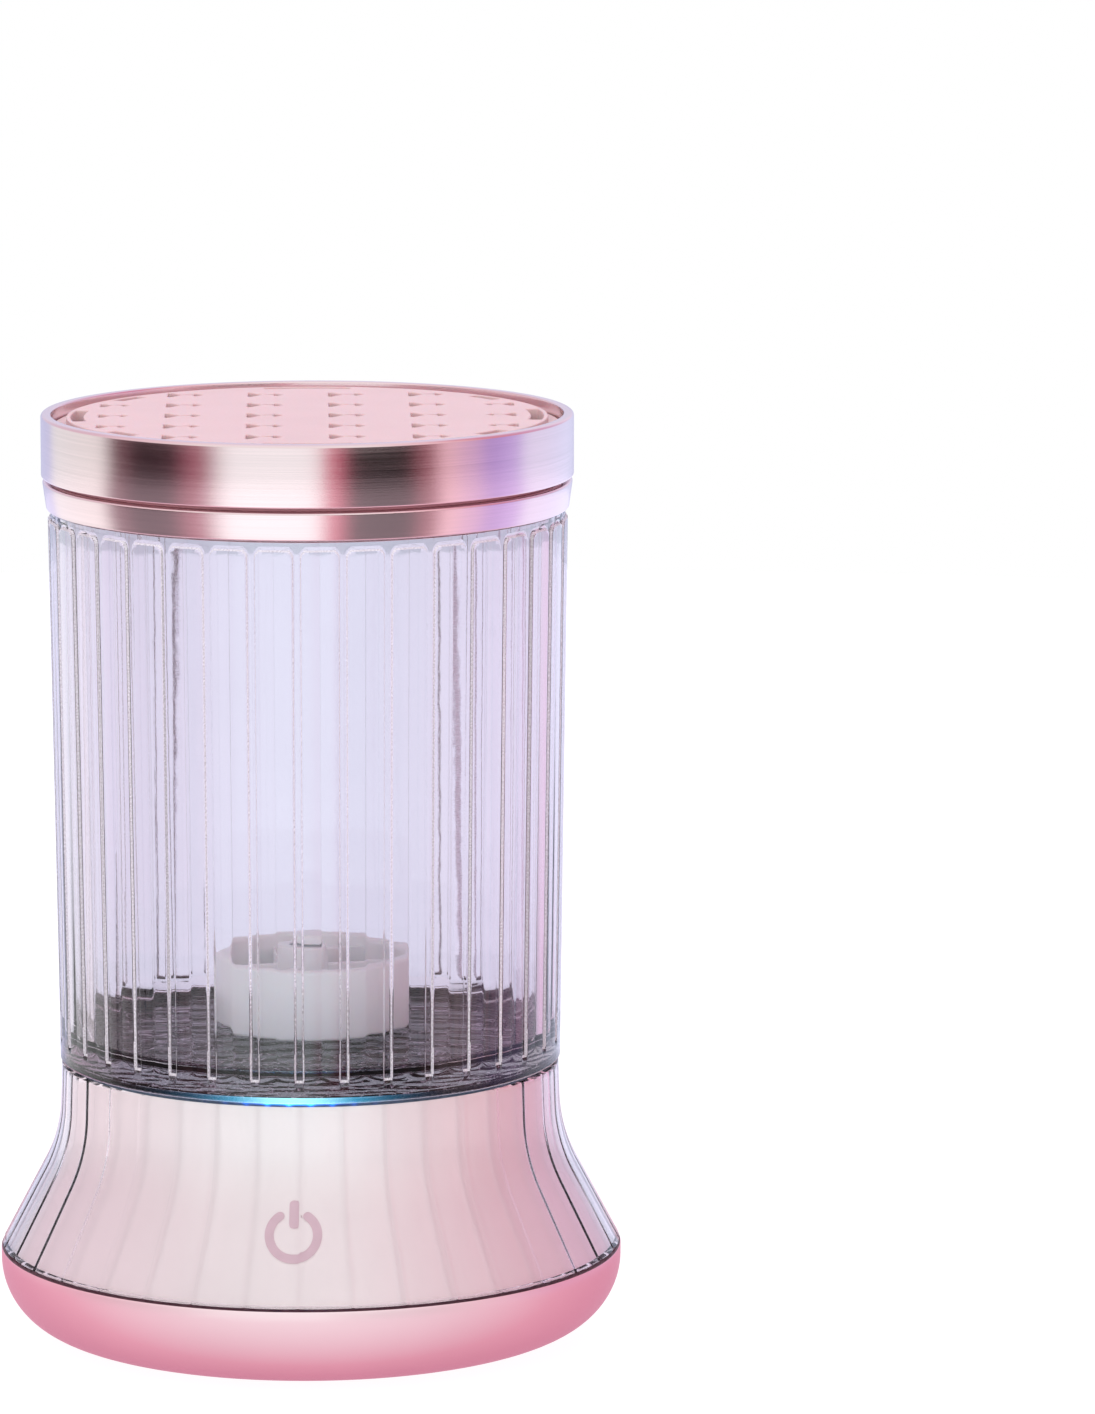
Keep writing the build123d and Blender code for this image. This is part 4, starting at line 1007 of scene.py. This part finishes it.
flange = rounded([
    (PLATEAU - 0.4 * MM, HOLDER_BOTTOM, 0), (HOLDER_RADIUS, HOLDER_BOTTOM, 0.3 * MM),
    (HOLDER_RADIUS, FLANGE_TOP, 0.4 * MM), (PLATEAU - 0.4 * MM, FLANGE_TOP, 0),
])
holder = merged("silicone_holder", [plate, turned_data(flange, even_angles(360))], sharp=50)
dress(holder, silicone, "holder", "silicone_pink", "brush_holder")

# ------------------------------------------------------------------ CAD nodes that keep their shape

kept = {
    "led_board": board_green, "control_board": board_green, "charge_board": board_green,
    "led_chips": led_lens, "control_chips": chip_black, "touch_electrode": copper,
    "motor_can": steel, "motor_bracket": inner_plastic, "motor_screws": steel, "motor_shaft": steel,
    "battery_cell": cell_foil, "battery_tray": inner_plastic, "usb_c_port": steel,
    "housing_screws": steel, "rubber_feet": foot_rubber, "magnet_holder": inner_plastic,
    "drive_magnets": magnet_plate, "agitator_magnets": magnet_plate, "magnet_cover": white_plastic,
    "agitator_bush": grey_plastic,
}
for node, material in kept.items():
    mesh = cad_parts[node].data
    mesh.materials.clear()
    mesh.materials.append(material)

# ------------------------------------------------------------------ Studio

scene = bpy.context.scene
scene.view_settings.view_transform = "Standard"

floor = new_object("floor", *turned_data([(0.0, 0.0), (0.3, 0.0), (1.1, 0.0)], even_angles(96), closed=False))
floor_material = surface("studio_floor", (0.42, 0.41, 0.42), (0.6, 0.75), 0.004, 3, 400, 0.01)
floor_nodes = Nodes(floor_material.node_tree)
floor_shader = floor_material.node_tree.nodes["Principled BSDF"]
rays = floor_nodes.add("ShaderNodeLightPath").outputs
floor.data.materials.append(floor_material)

# Soft light from all round. LEVEL gives the colours that rose metal mirrors from near the horizon:
# a white panel in front, a dark card on each side of it, then violet and lavender panels. HIGH gives
# the softer colours above them, and FRONT those seen through clear parts. Bearings are in degrees
# from the front, positive to the right.
LEVEL = [
    (-180, (0.77, 0.72, 0.83)), (-150, (0.77, 0.73, 0.85)), (-138, (0.89, 0.84, 0.85)),
    (-102, (0.90, 0.84, 0.84)), (-88, (0.40, 0.25, 0.28)), (-76, (0.14, 0.04, 0.07)),
    (-62, (0.16, 0.04, 0.08)), (-48, (0.58, 0.30, 0.36)), (-32, (0.95, 0.90, 0.91)),
    (2, (0.95, 0.90, 0.91)), (11, (0.76, 0.36, 0.44)), (20, (0.06, 0.01, 0.02)),
    (42, (0.04, 0.01, 0.01)), (52, (0.52, 0.28, 0.32)), (62, (0.88, 0.67, 0.71)),
    (74, (0.80, 0.62, 0.74)), (86, (0.68, 0.54, 0.77)), (98, (0.74, 0.61, 0.83)),
    (112, (0.87, 0.81, 0.91)), (146, (0.86, 0.82, 0.93)), (180, (0.77, 0.72, 0.83)),
]
HIGH = [
    (-180, (0.90, 0.88, 0.95)), (-130, (0.89, 0.80, 0.85)), (-80, (0.95, 0.86, 0.88)),
    (-35, (1.0, 1.0, 0.99)), (22, (1.0, 1.0, 0.99)), (48, (0.98, 0.87, 0.89)),
    (66, (0.96, 0.81, 0.84)), (92, (0.86, 0.59, 0.66)), (130, (0.86, 0.71, 0.83)),
    (160, (0.93, 0.89, 0.97)), (180, (0.90, 0.88, 0.95)),
]
FRONT = [
    (-180, (0.745, 0.68, 0.74)), (-150, (0.77, 0.70, 0.76)), (-124, (0.90, 0.77, 0.80)),
    (-93, (0.91, 0.79, 0.81)), (-69, (0.92, 0.83, 0.84)), (-53, (0.93, 0.87, 0.88)),
    (-22, (0.97, 0.94, 0.94)), (10, (0.97, 0.94, 0.94)), (42, (0.90, 0.78, 0.80)),
    (68, (0.885, 0.69, 0.71)), (98, (0.78, 0.44, 0.50)), (122, (0.76, 0.49, 0.62)),
    (148, (0.77, 0.70, 0.77)), (180, (0.745, 0.68, 0.74)),
]
PLAIN = (1.0, 1.0, 1.0)
SKIRT_TINT = (0.975, 0.885, 0.895)
world = bpy.data.worlds.new("studio")
world.use_nodes = True
scene.world = world
sky = Nodes(world.node_tree)
direction = sky.add("ShaderNodeSeparateXYZ", {0: sky.add("ShaderNodeTexCoord").outputs["Generated"]})
ahead = sky.maths("MULTIPLY", direction.outputs[1], -1.0)


def panorama(nodes, x, ahead, bands, reference):
    """A colour by bearing: each band's colour over the metal's, so that the metal shows the band."""
    bearing = nodes.maths("ADD", nodes.maths("DIVIDE", nodes.maths("ARCTAN2", x, ahead), 2 * pi), 0.5)
    metal = linear(reference)
    stops = []
    for angle, colour in bands:
        stops.append(((angle + 180) / 360, tuple(c / m for c, m in zip(linear(colour), metal))))
    return nodes.ramp(bearing, stops, "EASE")


def flat_colour(nodes, colour):
    """A constant linear colour."""
    node = nodes.add("ShaderNodeRGB")
    node.outputs[0].default_value = (*colour, 1.0)
    return node.outputs[0]


def blended(nodes, factor, low, high):
    """Low where factor is 0 and high where it is 1, for two colours."""
    mix = nodes.add("ShaderNodeMix", {"Factor": factor}, data_type="RGBA")
    colours = [socket for socket in mix.inputs if socket.type == "RGBA"]
    nodes.tree.links.new(low, colours[0])
    nodes.tree.links.new(high, colours[1])
    return [socket for socket in mix.outputs if socket.type == "RGBA"][0]


def climb(low, high):
    """0 below one upward slope of the view and 1 above another."""
    return sky.add(
        "ShaderNodeMapRange",
        {"Value": direction.outputs[2], "From Min": low, "From Max": high, "To Min": 0.0, "To Max": 1.0},
        interpolation_type="SMOOTHSTEP",
    ).outputs[0]


level = panorama(sky, direction.outputs[0], ahead, LEVEL, ROSE)
front = panorama(sky, direction.outputs[0], ahead, FRONT, SKIRT_TINT)
sky_rays = sky.add("ShaderNodeLightPath").outputs
level = blended(sky, sky_rays["Is Transmission Ray"], level, front)
high = panorama(sky, direction.outputs[0], ahead, HIGH, PLAIN)
overhead = flat_colour(sky, linear((0.95, 0.93, 0.96)))
upper = blended(sky, climb(0.0, 0.2), level, high)
sky_colour = blended(sky, climb(0.75, 0.97), upper, overhead)
background = world.node_tree.nodes["Background"]
world.node_tree.links.new(sky_colour, background.inputs["Color"])
background.inputs["Strength"].default_value = 1.0
white = sky.add("ShaderNodeBackground", {"Color": (1, 1, 1, 1), "Strength": 1.0})
shown = {0: sky_rays["Is Camera Ray"], 1: background.outputs[0], 2: white.outputs[0]}
blend = sky.add("ShaderNodeMixShader", shown)
world.node_tree.links.new(blend.outputs[0], world.node_tree.nodes["World Output"].inputs["Surface"])

# The floor glows white to the camera, with the FRONT colours through clear parts, with the LEVEL
# bands in mirrored light from further out, and pink close to the base.
rays = floor_nodes.add("ShaderNodeLightPath").outputs
spot = floor_nodes.object_point()
toward = floor_nodes.maths("MULTIPLY", spot[1], -1.0)
far = floor_nodes.add(
    "ShaderNodeMapRange", {"Value": floor_nodes.from_axis(spot), "From Min": 0.18, "From Max": 0.3}
).outputs[0]
near_pink = flat_colour(floor_nodes, (0.72, 0.42, 0.52))
bounce = flat_colour(floor_nodes, (0.66, 0.55, 0.60))
plain = flat_colour(floor_nodes, (0.92, 0.92, 0.92))
mirrored = blended(floor_nodes, far, near_pink, panorama(floor_nodes, spot[0], toward, LEVEL, ROSE))
through = panorama(floor_nodes, spot[0], toward, FRONT, SKIRT_TINT)
glow = blended(floor_nodes, rays["Is Diffuse Ray"], plain, bounce)
glow = blended(floor_nodes, rays["Is Glossy Ray"], glow, mirrored)
glow = blended(floor_nodes, rays["Is Transmission Ray"], glow, through)
floor_material.node_tree.links.new(glow, floor_shader.inputs["Emission Color"])
floor_shader.inputs["Emission Strength"].default_value = 1.0

MIDDLE = Vector((0, 0, 0.1))


def softbox(name, place, size, power, colour=(1, 1, 1), target=MIDDLE):
    """A rectangular soft light at place, facing target."""
    lamp = bpy.data.lights.new(name, "AREA")
    lamp.shape = "RECTANGLE"
    lamp.size, lamp.size_y = size
    lamp.energy = power
    lamp.color = colour
    made = bpy.data.objects.new(name, lamp)
    made.location = place
    made.rotation_euler = (Vector(target) - Vector(place)).to_track_quat("-Z", "Y").to_euler()
    made.visible_glossy = False
    made.visible_transmission = False
    scene.collection.objects.link(made)


softbox("key", (-0.55, -1.3, 1.1), (1.1, 1.1), 6.5, (1.0, 0.985, 0.99))
softbox("top", (0.0, 0.1, 1.6), (1.4, 1.4), 8, (1.0, 0.98, 1.0))
softbox("back", (0.3, 1.4, 0.9), (1.4, 1.0), 4, (0.95, 0.93, 1.0))

# ------------------------------------------------------------------ Camera

camera_data = bpy.data.cameras.new("camera")
camera_data.lens = 197.3
camera_data.sensor_width = 36
camera = bpy.data.objects.new("camera", camera_data)
camera.location = (0.0, -1.56, 0.3813)
aim = Vector((0.04866, 0.0, 0.12912))
camera.rotation_euler = (aim - camera.location).to_track_quat("-Z", "Y").to_euler()
scene.collection.objects.link(camera)
scene.camera = camera
